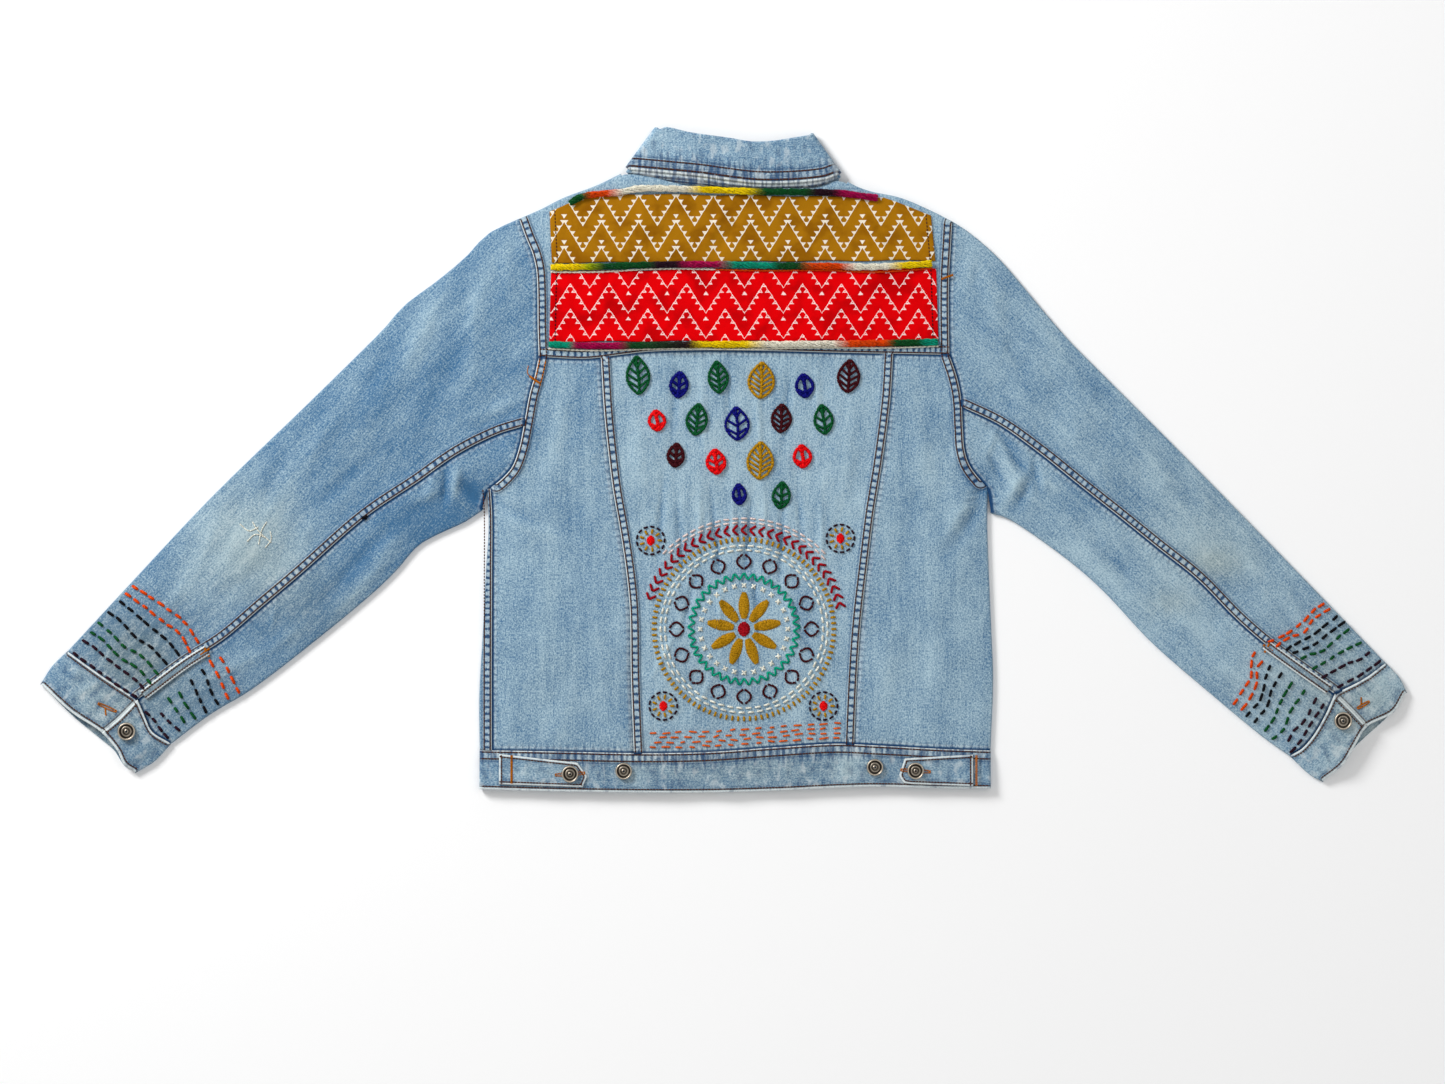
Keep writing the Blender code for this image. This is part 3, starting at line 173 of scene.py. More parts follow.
patches = {  # corners from the lower left, anticlockwise
    "patch_mustard": [
        (-173.8, 500.2), (190.2, 502.6), (186, 546), (140, 562.6), (-139, 566.4), (-176, 549)],
    "patch_red": [(-176.2, 425.4), (193.2, 426.4), (191, 495.4), (186, 496), (-170, 492.6), (-174.6, 492)],
}
yarns = {  # the line of each, its dyed lengths from 0 to 1, and the two thin strands below it, if it has them
    "yarn_top": {
        "line": [
            (-157, 556.5), (-144, 563.4), (-109.2, 567.2), (-90.2, 570.6), (-42.8, 569.9), (19, 567.6),
            (95, 566.6), (135.8, 561.6)],
        "dye": [
            ("green", 0, 0.05), ("orange", 0.08, 0.13), ("white", 0.18, 0.38), ("yellow", 0.43, 0.58),
            ("green", 0.63, 0.76), ("plum", 0.80, 0.85), ("magenta", 0.89, 1)],
        "slot": "yarn_yellow",
    },
    "yarn_middle": {
        "fringe": (4.4, [(0, 0.84), (0.42, 0.84), (0.44, 0.72), (1, 0.72)]),
        "line": [
            (-174.8, 495.9), (-128.2, 496.6), (-80.8, 498.2), (-19, 498.6), (33.2, 497.4), (90.2, 497),
            (128.2, 496.2), (156.8, 497.6), (187, 499.6)],
        "dye": [
            ("yellow", 0, 0.07), ("lime", 0.10), ("green", 0.14, 0.25), ("plum", 0.28, 0.33),
            ("magenta", 0.36, 0.44), ("teal", 0.48, 0.57), ("green", 0.60, 0.65), ("orange", 0.69, 0.76),
            ("white", 0.80, 0.88), ("yellow", 0.92, 1)],
        "slot": "yarn_green",
    },
    "yarn_bottom": {
        "fringe": (4, [(0, 0.65), (1, 0.65)]),
        "line": [(-176.7, 422.9), (-128.2, 421.6), (-42.8, 422.6), (19, 422.8), (99.8, 423.4), (192.8, 425.2)],
        "dye": [
            ("teal", 0, 0.05), ("magenta", 0.07, 0.18), ("green", 0.21), ("plum", 0.36), ("yellow", 0.40, 0.51),
            ("white", 0.56, 0.73), ("orange", 0.77, 0.86), ("green", 0.89, 0.95), ("teal", 0.97, 1)],
        "slot": "yarn_orange",
    },
}
yarnStrand = {
    "count": 6, "radius": 1.05, "spread": 1.9, "twist": 26.0, "step": 1.6, "sides": 5, "fibres": 1400,
}

# Creases: x, y, direction in degrees, half length, half width, height. The first ones are the solids' own.
mainCreases = (
    (-262, 300, 200, 42, 13, 2.4), (-318, 268, 215, 48, 14, 1.8), (-352, 352, 240, 60, 16, 1.6),
    (-470, 230, 232, 62, 15, 1.5), (-505, 105, 205, 50, 14, 1.4), (268, 300, 330, 40, 13, 2.6),
    (330, 330, 300, 55, 15, 1.7), (440, 240, 318, 60, 15, 1.6), (500, 110, 330, 48, 14, 1.4),
    (-205, 250, 285, 60, 14, 1.7), (212, 262, 255, 60, 14, 1.9), (-60, 140, 80, 70, 18, 1.2),
    (60, 110, 100, 64, 18, 1.2),
)
fineCreases = (
    # left sleeve
    (-275, 290, 267, 16, 3.6, -1.9), (-265, 290, 262, 15, 4.2, 1.5), (-286, 296, 258, 16, 4.6, 1),
    (-247, 278, 308, 19, 4, -1.9), (-258, 273, 304, 17, 4.6, 1.3), (-238, 290, 318, 12, 3.4, 1),
    (-227, 279.5, 352, 9, 1.8, -0.9), (-224, 274, 338, 10, 2, -0.7), (-228, 284, 8, 8, 1.8, 0.6),
    (-291, 280, 205, 17, 4, 0.9), (-352, 196, 227, 62, 8, 1.7), (-366, 207, 227, 44, 6, -1),
    (-330, 232, 222, 30, 6, 0.8), (-438, 164, 262, 9, 2.6, 0.8), (-421, 148, 215, 26, 6, 0.9),
    (-474, 118, 205, 26, 6, 0.8), (-520, 82, 215, 20, 5, 0.7), (-246, 452, 262, 46, 9, 1),
    (-268, 402, 240, 40, 8, -0.7), (-300, 430, 246, 44, 9, 0.9), (-338, 398, 238, 36, 7, -0.6),
    (-396, 330, 236, 46, 9, 1), (-376, 290, 222, 34, 7, -0.7), (-440, 290, 246, 30, 7, -0.7),
    (-500, 238, 250, 30, 8, 0.8), (-456, 206, 212, 28, 7, -0.6), (-528, 188, 236, 30, 7, 0.8),
    (-548, 150, 226, 20, 5, -0.6), (-586, 140, 236, 22, 5, 0.7), (-566, 118, 214, 16, 4, 0.5),
    (-224, 362, 200, 24, 6, 0.8), (-216, 498, 280, 28, 7, 0.7),
    # right sleeve
    (258, 318, 300, 17, 4, 1.5), (248, 306, 296, 14, 3.6, -1.7), (264, 286, 236, 19, 4.6, 1.6),
    (274, 281, 240, 16, 4, -1.7), (286, 300, 280, 16, 4, -1.4), (258, 330, 312, 22, 4.5, -1.7),
    (268, 334, 312, 20, 4.5, 1.2), (272, 306, 318, 20, 4, -1.7), (262, 297, 300, 16, 5, 1.3),
    (300, 262, 322, 34, 6, -1), (290, 270, 322, 30, 6, 0.9), (230, 282, 190, 9, 1.8, -0.9),
    (226, 275, 205, 10, 2, -0.7), (292, 292, 335, 20, 4.4, 1), (243, 330, 250, 15, 3.6, 0.8),
    (348, 208, 312, 56, 8, 1.6), (364, 214, 313, 40, 6, -0.9), (318, 252, 318, 30, 6, 0.8),
    (430, 158, 322, 26, 6, 0.9), (404, 180, 290, 12, 3, 0.7), (478, 108, 330, 26, 6, 0.8),
    (520, 74, 322, 20, 5, 0.7), (246, 462, 282, 44, 9, 1), (266, 414, 300, 38, 8, -0.7),
    (304, 420, 296, 42, 9, 0.9), (346, 380, 306, 34, 7, -0.6), (392, 318, 302, 44, 9, 1),
    (372, 288, 320, 32, 7, -0.7), (444, 276, 296, 30, 7, 0.7), (492, 216, 292, 32, 8, 0.8),
    (466, 196, 326, 26, 7, -0.6), (532, 168, 304, 30, 7, 0.8), (556, 136, 314, 18, 5, -0.6),
    (586, 126, 302, 22, 5, 0.7), (222, 492, 262, 28, 7, 0.7),
    # side panels
    (-170, 330, 262, 56, 9, 0.8), (-150, 240, 278, 48, 9, -0.6), (-182, 160, 268, 50, 10, 0.7),
    (-130, 130, 276, 44, 8, 0.6), (-206, 310, 300, 24, 6, 0.9), (-160, 76, 250, 24, 7, 0.5),
    (176, 320, 278, 56, 9, 0.8), (164, 226, 262, 46, 9, -0.6), (188, 150, 272, 50, 10, 0.7),
    (142, 120, 264, 44, 8, 0.6), (214, 322, 240, 22, 6, 0.9), (168, 72, 290, 24, 7, 0.5),
    (224, 256, 60, 26, 6, -1.5), (213, 262, 62, 26, 6, 1.1), (204, 232, 66, 30, 7, -0.9),
    (228, 296, 320, 18, 5, -1.6), (-206, 262, 332, 26, 5, -0.8), (-190, 248, 338, 30, 6, 0.7),
    # puckers that the needlework pulls in the centre panel
    (-70, 262, 86, 34, 2.6, -1.3), (-52, 238, 94, 38, 2.4, -1.5), (-34, 254, 88, 32, 2.6, 1.1),
    (-18, 240, 97, 40, 2.4, -1.7), (-2, 256, 90, 34, 2.8, 1.1), (12, 236, 84, 42, 2.4, -1.7),
    (28, 252, 92, 34, 2.6, 1.1), (44, 238, 88, 40, 2.4, -1.5), (62, 256, 95, 32, 2.6, -1.1),
    (82, 240, 90, 34, 2.6, 1.1), (-44, 176, 78, 28, 2.4, -1.3), (-14, 180, 86, 30, 2.4, 1.1),
    (20, 178, 96, 32, 2.4, -1.5), (52, 172, 104, 28, 2.6, 1.1), (-66, 132, 62, 24, 2.4, 1.1),
    (76, 126, 118, 24, 2.4, -1.1), (4, 120, 90, 24, 2.4, -1.1), (-30, 92, 60, 20, 2.2, 0.9),
    (-58, 362, 85, 32, 2.8, -1.1), (-30, 350, 92, 34, 2.6, 1.1), (-6, 366, 88, 32, 2.6, -1.1),
    (22, 352, 94, 34, 2.6, 1.1), (50, 364, 86, 32, 2.8, -1.1), (78, 372, 92, 28, 2.8, 0.9),
    (-92, 330, 96, 40, 7, 0.6), (108, 322, 82, 40, 7, 0.6), (-20, 318, 100, 24, 5, 0.5),
    (40, 300, 82, 26, 5, -0.5),
    # yoke and patches
    (-20, 532, 62, 26, 4, 0.8), (-8, 524, 58, 24, 3.6, -0.6), (132, 530, 118, 26, 4, 0.8),
    (146, 520, 124, 22, 3.6, -0.6), (-120, 470, 74, 28, 5, 0.6), (-60, 456, 104, 26, 5, -0.4),
    (30, 464, 80, 30, 5, 0.5), (96, 456, 112, 26, 5, 0.5), (160, 466, 70, 24, 5, -0.4),
    (-150, 530, 130, 22, 5, 0.6), (60, 538, 98, 22, 5, -0.4), (-88, 536, 82, 20, 4, 0.5),
    # waistband and cuffs
    (-200, 20, 94, 14, 3.4, 0.5), (-120, 18, 86, 14, 3.4, -0.4), (-60, 20, 92, 14, 3.2, 0.5),
    (-10, 18, 88, 14, 3, -0.4), (48, 22, 95, 14, 3.2, 0.5), (102, 22, 87, 14, 3.2, 0.4),
    (206, 20, 92, 14, 3.2, -0.4), (-612, 98, 210, 16, 3.6, 0.7), (-596, 84, 226, 14, 3.2, -0.6),
    (-625, 112, 240, 12, 3.4, 0.5), (602, 92, 330, 16, 3.6, 0.7), (588, 80, 316, 14, 3.2, -0.6),
    (614, 104, 300, 12, 3.4, 0.5),
)
undersideCreases = (
    (-150, 400, 262, 60, 10, 0.9), (-120, 250, 278, 70, 12, 0.8), (-180, 130, 262, 50, 9, 0.9),
    (-80, 120, 250, 40, 8, 0.7), (140, 380, 276, 60, 10, 0.9), (110, 230, 264, 70, 12, 0.8),
    (180, 140, 280, 50, 9, 0.9), (76, 110, 288, 40, 8, 0.7), (-300, 350, 240, 50, 8, 0.9),
    (-400, 240, 222, 46, 8, 0.9), (-500, 150, 236, 40, 7, 0.8), (-270, 290, 200, 30, 6, 1),
    (300, 340, 302, 50, 8, 0.9), (400, 230, 318, 46, 8, 0.9), (500, 140, 306, 40, 7, 0.8),
    (275, 288, 340, 30, 6, 1),
)


# Plan lines, worked out as whole arrays

def along(points):  # how far along the line each point is, from 0 to 1
    steps = np.linalg.norm(np.diff(points, axis=0), axis=1)
    return np.concatenate([[0.0], np.cumsum(steps)]) / steps.sum()


def even(count):
    return np.linspace(0.0, 1.0, count + 1)


def lengthOf(line):
    return float(np.linalg.norm(np.diff(line, axis=0), axis=1).sum())


def resample(line, fractions):  # the line read at fractions of its length, straight between its points
    place = along(line)
    return np.column_stack([np.interp(fractions, place, values) for values in np.transpose(line)])


def unit(vectors):
    return vectors / np.linalg.norm(vectors, axis=-1, keepdims=True)


def curve(points, fractions):
    # cubic spans through the points, each slope the chord of its two neighbours, read at fractions of length
    points = np.array(points, float)
    knots = np.concatenate([[0.0], np.cumsum(np.linalg.norm(np.diff(points, axis=0), axis=1))])
    ends = np.arange(len(points))
    before, after = np.maximum(ends - 1, 0), np.minimum(ends + 1, len(points) - 1)
    slopes = (points[after] - points[before]) / (knots[after] - knots[before])[:, None]
    fine = np.linspace(0.0, knots[-1], 1200)
    span = np.clip(np.searchsorted(knots, fine, side="right") - 1, 0, len(knots) - 2)
    width = (knots[span + 1] - knots[span])[:, None]
    t = (fine - knots[span])[:, None] / width
    dense = ((2 * t**3 - 3 * t**2 + 1) * points[span] + (t**3 - 2 * t**2 + t) * width * slopes[span]
             + (3 * t**2 - 2 * t**3) * points[span + 1] + (t**3 - t**2) * width * slopes[span + 1])
    return resample(dense, fractions)


def between(points, start, end, fractions):  # a line from side to side, read between two values of x
    dense = curve(points, even(800))
    x = start + (end - start) * fractions
    return np.column_stack([x, np.interp(x, dense[:, 0], dense[:, 1])])


def graded(length, counts, ends=(10.4, 10.4)):
    # fractions of a length: short steps at its two ends, longer ones between, in the given numbers
    first, middle, last = counts
    start = ends[0] / length if first else 0.0
    stop = 1.0 - ends[1] / length if last else 1.0
    parts = [np.linspace(0.0, start, first, endpoint=False), np.linspace(start, stop, middle, endpoint=False)]
    return np.concatenate([*parts, np.linspace(stop, 1.0, last + 1)])


def normalsOf(line, awayFrom):  # unit normals on the side away from the given points
    run = np.gradient(line, axis=0)
    normal = unit(np.column_stack([-run[:, 1], run[:, 0]]))
    facing = np.sum(normal * (line - awayFrom), axis=1, keepdims=True)
    return np.where(facing < 0, -normal, normal)


def foldLine(points, inside):
    # where the upper layer starts to turn down, inside a silhouette line
    line = curve(points, even(40))
    return line - (jacket["foldRadius"] + jacket["cloth"]) * normalsOf(line, inside)


def patchGrid(bottom, top, left, right):
    # rows of plan points between four edges: ruled from bottom to top, then pulled to the sides
    rows = (along(left) + along(right))[:, None] / 2
    sideways = (1 - rows) * along(bottom) + rows * along(top)
    pull = (sideways**2 * (3 - 2 * sideways))[..., None]
    up = (1 - pull) * along(left)[:, None, None] + pull * along(right)[:, None, None]
    plan = (1 - up) * bottom + up * top
    plan = plan + (1 - pull) * (left[:, None] - (1 - up) * bottom[0] - up * top[0])
    return plan + pull * (right[:, None] - (1 - up) * bottom[-1] - up * top[-1])


def lineField(plan, line):
    # the distance from each point to a line, and how far along the line its nearest point lies
    flat = plan.reshape(-1, 2)
    nearest, run, passed = np.full(len(flat), 1e6), np.zeros(len(flat)), 0.0
    for start, end in zip(line[:-1], line[1:]):
        step = end - start
        size = np.linalg.norm(step)
        t = np.clip((flat - start) @ step / size**2, 0.0, 1.0)
        away = np.linalg.norm(flat - start - t[:, None] * step, axis=1)
        run = np.where(away < nearest, passed + t * size, run)
        nearest = np.minimum(nearest, away)
        passed += size
    return nearest.reshape(plan.shape[:-1]), run.reshape(plan.shape[:-1])


# Heights

def smoothStep(value, start, end):
    t = np.clip((value - start) / (end - start), 0.0, 1.0)
    return t * t * (3 - 2 * t)


def neckLift(plan):
    away = np.linalg.norm(plan - jacket["neckCentre"], axis=-1)
    return jacket["collarLift"] * (1 - smoothStep(away, *jacket["neckReach"]))


def lowerLift(plan, centreLift):  # what the lower layer lies on lifts it: buttons and bands, and the collar
    centre = centreLift * (1 - smoothStep(np.abs(plan[..., 0]), *jacket["centreReach"]))
    return np.maximum(centre, neckLift(plan))


def creased(plan, table):  # the sum of long soft bells, one for each crease
    total = np.zeros(plan.shape[:-1])
    for x, y, direction, length, width, height in table:
        angle = math.radians(direction)
        dx, dy = plan[..., 0] - x, plan[..., 1] - y
        run = (dx * math.cos(angle) + dy * math.sin(angle)) / length
        side = (dy * math.cos(angle) - dx * math.sin(angle)) / width
        total += height * np.exp(-(run**2) - side**2)
    return total


def rolling(plan, kind):  # a gentle unevenness: a sum of waves in seeded directions
    height, size, seed = unevenness[kind]
    random, waves = np.random.default_rng(seed), 9
    total = np.zeros(plan.shape[:-1])
    for _ in range(waves):
        angle, phase = random.uniform(0, 2 * math.pi, 2)
        pitch = size * random.uniform(0.7, 1.5)
        run = plan[..., 0] * math.cos(angle) + plan[..., 1] * math.sin(angle)
        total += np.sin(run * 2 * math.pi / pitch + phase)
    return height * (total / math.sqrt(waves))


unevenness = {  # height, size across and seed
    "broad": (0.34, 46.0, 3), "fine": (0.13, 13.0, 4), "beneath": (0.25, 60.0, 7), "band": (0.12, 22.0, 9),
    "collar": (0.3, 30.0, 12),
}


def upperInside(plan):
    distance = lineFieldMin(plan)
    rise = jacket["puff"] * (1 - np.exp(-distance / jacket["puffReach"]))
    rise += creased(plan, mainCreases) * (1 - np.exp(-distance / 20.0))
    return jacket["cloth"] + 2 * jacket["foldRadius"] + neckLift(plan) + rise, distance


def lineFieldMin(plan):  # the distance to the nearest folded edge
    return np.minimum.reduce([lineField(plan, line)[0] for line in foldEdges])


def upperTop(plan):
    # the outer face of the layer on top: the solid's own height, fine creases and unevenness
    inside, distance = upperInside(plan)
    fine = jacket["fineCreases"] * creased(plan, fineCreases)
    fine = fine + rolling(plan, "broad") + rolling(plan, "fine")
    return inside + jacket["cloth"] + fine * (1 - np.exp(-distance / 9.0))


def lowerBottom(plan, centreLift=0.0):  # the outer face of the layer underneath, mostly on the floor
    crease = creased(plan, undersideCreases) + np.maximum(rolling(plan, "beneath"), 0.0)
    return lowerLift(plan, centreLift) + np.maximum(crease, 0.0) * (1 - np.exp(-lineFieldMin(plan) / 14.0))


def ropeWave(run):  # the pucker of a felled seam: a sine along it, its pitch never quite even
    turn = run / seam["ropePitch"] + 0.55 * np.sin(run / 31.0) + 0.28 * np.sin(run / 12.3 + 1.3)
    return np.sin(2 * math.pi * turn)


def seamRelief(distance, run, ridge=1.0, span=1.0):
    # the ridge along a seam's edge, its worn corner, and its puckers
    d = distance / span
    raised = seam["ridge"] * ridge * (1 - np.clip((d - seam["width"]) / seam["step"], 0.0, 1.0))
    corner = -0.32 * np.exp(-((distance / 0.5) ** 2))
    window = np.sin(math.pi * np.clip(d / (seam["width"] + 0.6), 0.0, 1.0))
    return raised + corner + seam["rope"] * span * (0.5 + 0.5 * ropeWave(run)) * window


def besideRelief(distance, run):  # puckers of the cloth that runs under a seam's edge
    return -seam["pucker"] * (0.45 + 0.55 * ropeWave(run)) * np.exp(-distance / seam["puckerReach"])


# Shader maths

class Wire:  # a socket that Python's operators act on: each adds one Math node
    def __init__(self, graph, socket):
        self.graph = graph
        self.socket = socket

    def maths(self, operation, *values):
        return self.graph.add("Math", {"operation": operation}, values)

    def function(self, operation, *values):
        return self.maths(operation, self, *values)

    def size(self):
        return self.function("ABSOLUTE")

    __add__ = lambda self, other: self.maths("ADD", self, other)
    __radd__ = lambda self, other: self.maths("ADD", other, self)
    __sub__ = lambda self, other: self.maths("SUBTRACT", self, other)
    __rsub__ = lambda self, other: self.maths("SUBTRACT", other, self)
    __mul__ = lambda self, other: self.maths("MULTIPLY", self, other)
    __rmul__ = lambda self, other: self.maths("MULTIPLY", other, self)
    __truediv__ = lambda self, other: self.maths("DIVIDE", self, other)
    __rtruediv__ = lambda self, other: self.maths("DIVIDE", other, self)
    __lt__ = lambda self, other: self.maths("LESS_THAN", self, other)


class Graph:  # one material and the nodes that feed its shader
    def __init__(self, name):
        self.material = bpy.data.materials.new(name)
        self.material.use_nodes = True
        self.tree = self.material.node_tree
        self.shader = self.tree.nodes["Principled BSDF"]

    def add(self, kind, settings, values=(), output=0):  # any node, fed by its inputs' names or in their order
        node = self.tree.nodes.new("ShaderNode" + kind)
        for key, value in settings.items():
            setattr(node, key, value)
        for key, value in values.items() if isinstance(values, dict) else enumerate(values):
            self.feed(node.inputs[key], value)
        return Wire(self, node.outputs[output])

    def feed(self, socket, value):
        if isinstance(value, Wire):
            self.tree.links.new(value.socket, socket)
        else:
            socket.default_value = value

    def finish(self, **sockets):
        names = {"colour": "Base Color", "roughness": "Roughness", "normal": "Normal", "metallic": "Metallic"}
        for key, value in sockets.items():
            self.feed(self.shader.inputs[names[key]], value)
        return self.material

    def set(self, **values):  # what is the same all over the surface, by the shader's own socket
        names = {"sheen": "Sheen Weight", "sheenRoughness": "Sheen Roughness", "specular": "Specular IOR Level"}
        for key, value in values.items():
            self.shader.inputs[names[key]].default_value = value

    def place(self):
        return self.add("TexCoord", {}, output="Object")

    def attribute(self, name):
        return self.add("Attribute", {"attribute_name": name}, output="Fac")

    def mix(self, share, first, second):
        return self.add("Mix", {"data_type": "RGBA"}, {0: share, 6: first, 7: second}, output=2)

    def step(self, value, low, high, start=0.0, end=1.0):  # a smooth step, which falls where low is past high
        values = {"Value": value, "From Min": low, "From Max": high, "To Min": start, "To Max": end}
        return self.add("MapRange", {"interpolation_type": "SMOOTHSTEP"}, values)

    def cutMap(self):
        return self.add("UVMap", {"uv_map": "cut"})

    def scaled(self, vector, across, along):
        # the map, in metres, divided by the sizes in millimetres that a pattern has across and along the grain
        size = (1 / (across * mm), 1 / (along * mm), 1.0)
        return self.add("VectorMath", {"operation": "MULTIPLY"}, {0: vector, 1: size})

    def noise(self, vector, detail, roughness, scale=1.0):
        values = {"Vector": vector, "Scale": scale, "Detail": detail, "Roughness": roughness}
        return self.add("TexNoise", {}, values)

    def woven(self, across, along, detail, roughness):  # noise sized in millimetres across and along the grain
        return self.noise(self.scaled(self.cutMap(), across, along), detail, roughness)

    def hump(self, value, rise, fall):  # a smooth step up, and one down again
        return self.step(value, *rise) * self.step(value, *fall[::-1])

    def parts(self, vector):
        return [self.add("SeparateXYZ", {}, [vector], output) for output in ("X", "Y")]

    def bump(self, height, distance, strength, under=None):
        values = {"Height": height, "Distance": distance, "Strength": strength}
        if under is not None:
            values["Normal"] = under
        return self.add("Bump", {}, values)


def paint(red, green, blue):  # a colour from 0 to 255, as a screen shows it, made linear
    shares = [value / 255 for value in (red, green, blue)]
    return (*[v / 12.92 if v <= 0.04045 else ((v + 0.055) / 1.055) ** 2.4 for v in shares], 1.0)


threads = {
    "green": paint(8, 78, 34), "lime": paint(160, 174, 0), "orange": paint(222, 70, 0),
    "white": paint(236, 232, 214), "yellow": paint(238, 208, 0), "plum": paint(40, 14, 30),
    "magenta": paint(166, 0, 74), "teal": paint(0, 150, 120), "black": paint(8, 8, 14),
    "maroon": paint(60, 4, 14), "red": paint(228, 0, 6), "gold": paint(172, 126, 8), "navy": paint(4, 8, 110),
    "leaf": paint(0, 78, 38), "pink": paint(236, 208, 202), "copper": paint(84, 48, 32),
    "tack": paint(184, 104, 4), "crimson": paint(150, 0, 18), "rust": paint(214, 92, 22),
}
cloth = {
    "deep": paint(38, 100, 146), "pale": paint(180, 207, 219), "worn": paint(220, 228, 228),
    # fold is deep indigo: the roping troughs and streaks, and the painted shade beside seams
    "fold": paint(24, 64, 106), "olive": paint(172, 186, 182), "oliveDeep": paint(86, 108, 118),
    # the stitch lines' brown: thread colour, with painted shade where the thread sinks in
    "threadAndShade": paint(60, 38, 32),
}


def denim(name, streaks=0.0):
    # washed twill: deep to pale by its fading and painted shade, speckled and slubbed along the grain, with worn
    # and roped seams and painted shade along them
    g = Graph(name)
    speck, slub = g.woven(1.3, 1.9, 3.0, 0.7), g.woven(1.5, 15.0, 2.0, 0.55)
    mottle, cloud = g.woven(5.0, 8.0, 3.0, 0.6), g.woven(26.0, 48.0, 3.0, 0.5)
    streak, blot = g.woven(6.0, 64.0, 2.0, 0.55), g.woven(1.1, 1.7, 2.0, 0.6)
    across, grain = g.parts(g.cutMap())
    twill = ((across + grain * 0.62) * (2 * math.pi / (0.9 * mm))).function("SINE")
    wash = g.attribute("wash") + (speck - 0.5) * 2.5 + (slub - 0.5) * 0.45 + (mottle - 0.5) * 0.34
    wash = wash + (cloud - 0.5) * 0.55 + (streak - 0.5) * 0.34
    greyer = g.mix(g.step(wash, -0.3, 1.2), cloth["oliveDeep"], cloth["olive"])
    rubbed = g.step(mottle + (streak - 0.5) * 0.8 + (speck - 0.5) * 0.5, 0.44, 0.78)
    tint, edge, run, beside, rim = [g.attribute(key) for key in ("tint", "edge", "run", "beside", "rim")]
    turn = run / seam["ropePitch"] + (run / 31.0).function("SINE") * 0.55
    turn = turn + (run / 12.3 + 1.3).function("SINE") * 0.28
    wave = (turn * (2 * math.pi)).function("SINE") + (mottle - 0.5) * 2.6 + (speck - 0.5) * 1.6
    ladder = g.hump(edge, (1.9, 2.5), (6.3, 6.9))
    # stitch lines painted into the cloth: the thread's brown and painted shade round it
    stitches = [g.step((edge - place).size(), 0.4, 1.05, 0.85, 0.0) for place in seam["stitches"]]
    layers = [  # how much of each tone lies over those before it, seams from the edge outwards
        (tint * 0.75 + 0.06, greyer), (twill * 0.03 + 0.03, cloth["worn"]),
        (rubbed * tint * 0.26, cloth["worn"]),
        (ladder * g.step(wave, -0.2, 0.9, 0.1, 0.32), cloth["worn"]),
        (ladder * g.step(wave, -0.1, -0.8) * (0.92 - 0.4 * bool(streaks)), cloth["fold"]),
        (g.step(edge, 1.0, 0.6) * g.step(rim, 3.0, 6.0) * g.step(blot, 0.25, 0.55, 0.5, 1.0), cloth["worn"]),
        (g.hump(edge, (7.7, 8.0), (8.3, 8.8)) * g.step(blot, 0.4, 0.6, 0.0, 0.4), cloth["worn"]),
        # painted shade: a dark line where the ridge steps down to the cloth beside it
        (g.hump(edge, (8.5, 9.0), (9.3, 11.0)) * 0.55, cloth["fold"]),
        *[(share, cloth["threadAndShade"]) for share in stitches],
        # painted shadow: a dark line on the cloth under a seam's lapped edge
        (g.step(beside, 2.5, 1.3), cloth["fold"]),
        (g.hump(beside, (2.2, 3.0), (3.4, 5.0)) * (slub * 0.45), cloth["worn"]),
        (g.step(beside, 9.0, 1.5) * g.step(wave, -0.1, -0.9, 0.0, 0.55), cloth["fold"]),
        (g.step(rim, 2.0, 1.2) * g.step(blot, 0.25, 0.55, 0.45, 1.0), cloth["worn"]),
        # a rim's stitch line: thread brown and painted shade
        (g.step((rim - seam["rimStitch"]).size(), 0.4, 1.0, 0.7, 0.0), cloth["threadAndShade"]),
        (g.hump(rim, (3.4, 3.9), (4.2, 7.5)) * g.step(slub, 0.42, 0.6, 0.0, 0.6), cloth["fold"]),
    ]
    if streaks:  # soft blue lines that hang from a band's stitches, and broad blue and pale places below them
        band, broad = g.woven(26.0, 3.4, 1.0, 0.5), g.woven(14.0, 9.0, 2.0, 0.5)
        hang = g.step(edge + (broad - 0.5) * 18.0, 9.0, 19.0, 0.75, 0.0)
        layers += [(g.step(band, 0.46, 0.62) * hang * streaks, cloth["fold"]),
                   (g.step(broad, 0.54, 0.68) * 0.42 * streaks, cloth["fold"]),
                   (g.step(broad, 0.46, 0.32) * 0.4 * streaks, cloth["worn"])]
    colour = g.mix(g.step(wash, -0.1, 1.1), cloth["deep"], cloth["pale"])
    for share, tone in layers:
        colour = g.mix(share, colour, tone)
    normal = g.bump(twill * 0.35 + slub * 0.5 + speck * 1.2, 0.00035, 0.6, g.bump(mottle, 0.0008, 0.3))
    g.set(sheen=0.04, sheenRoughness=0.6, specular=0.1)
    return g.finish(colour=colour, roughness=0.88 + (mottle - 0.5) * 0.12, normal=normal)


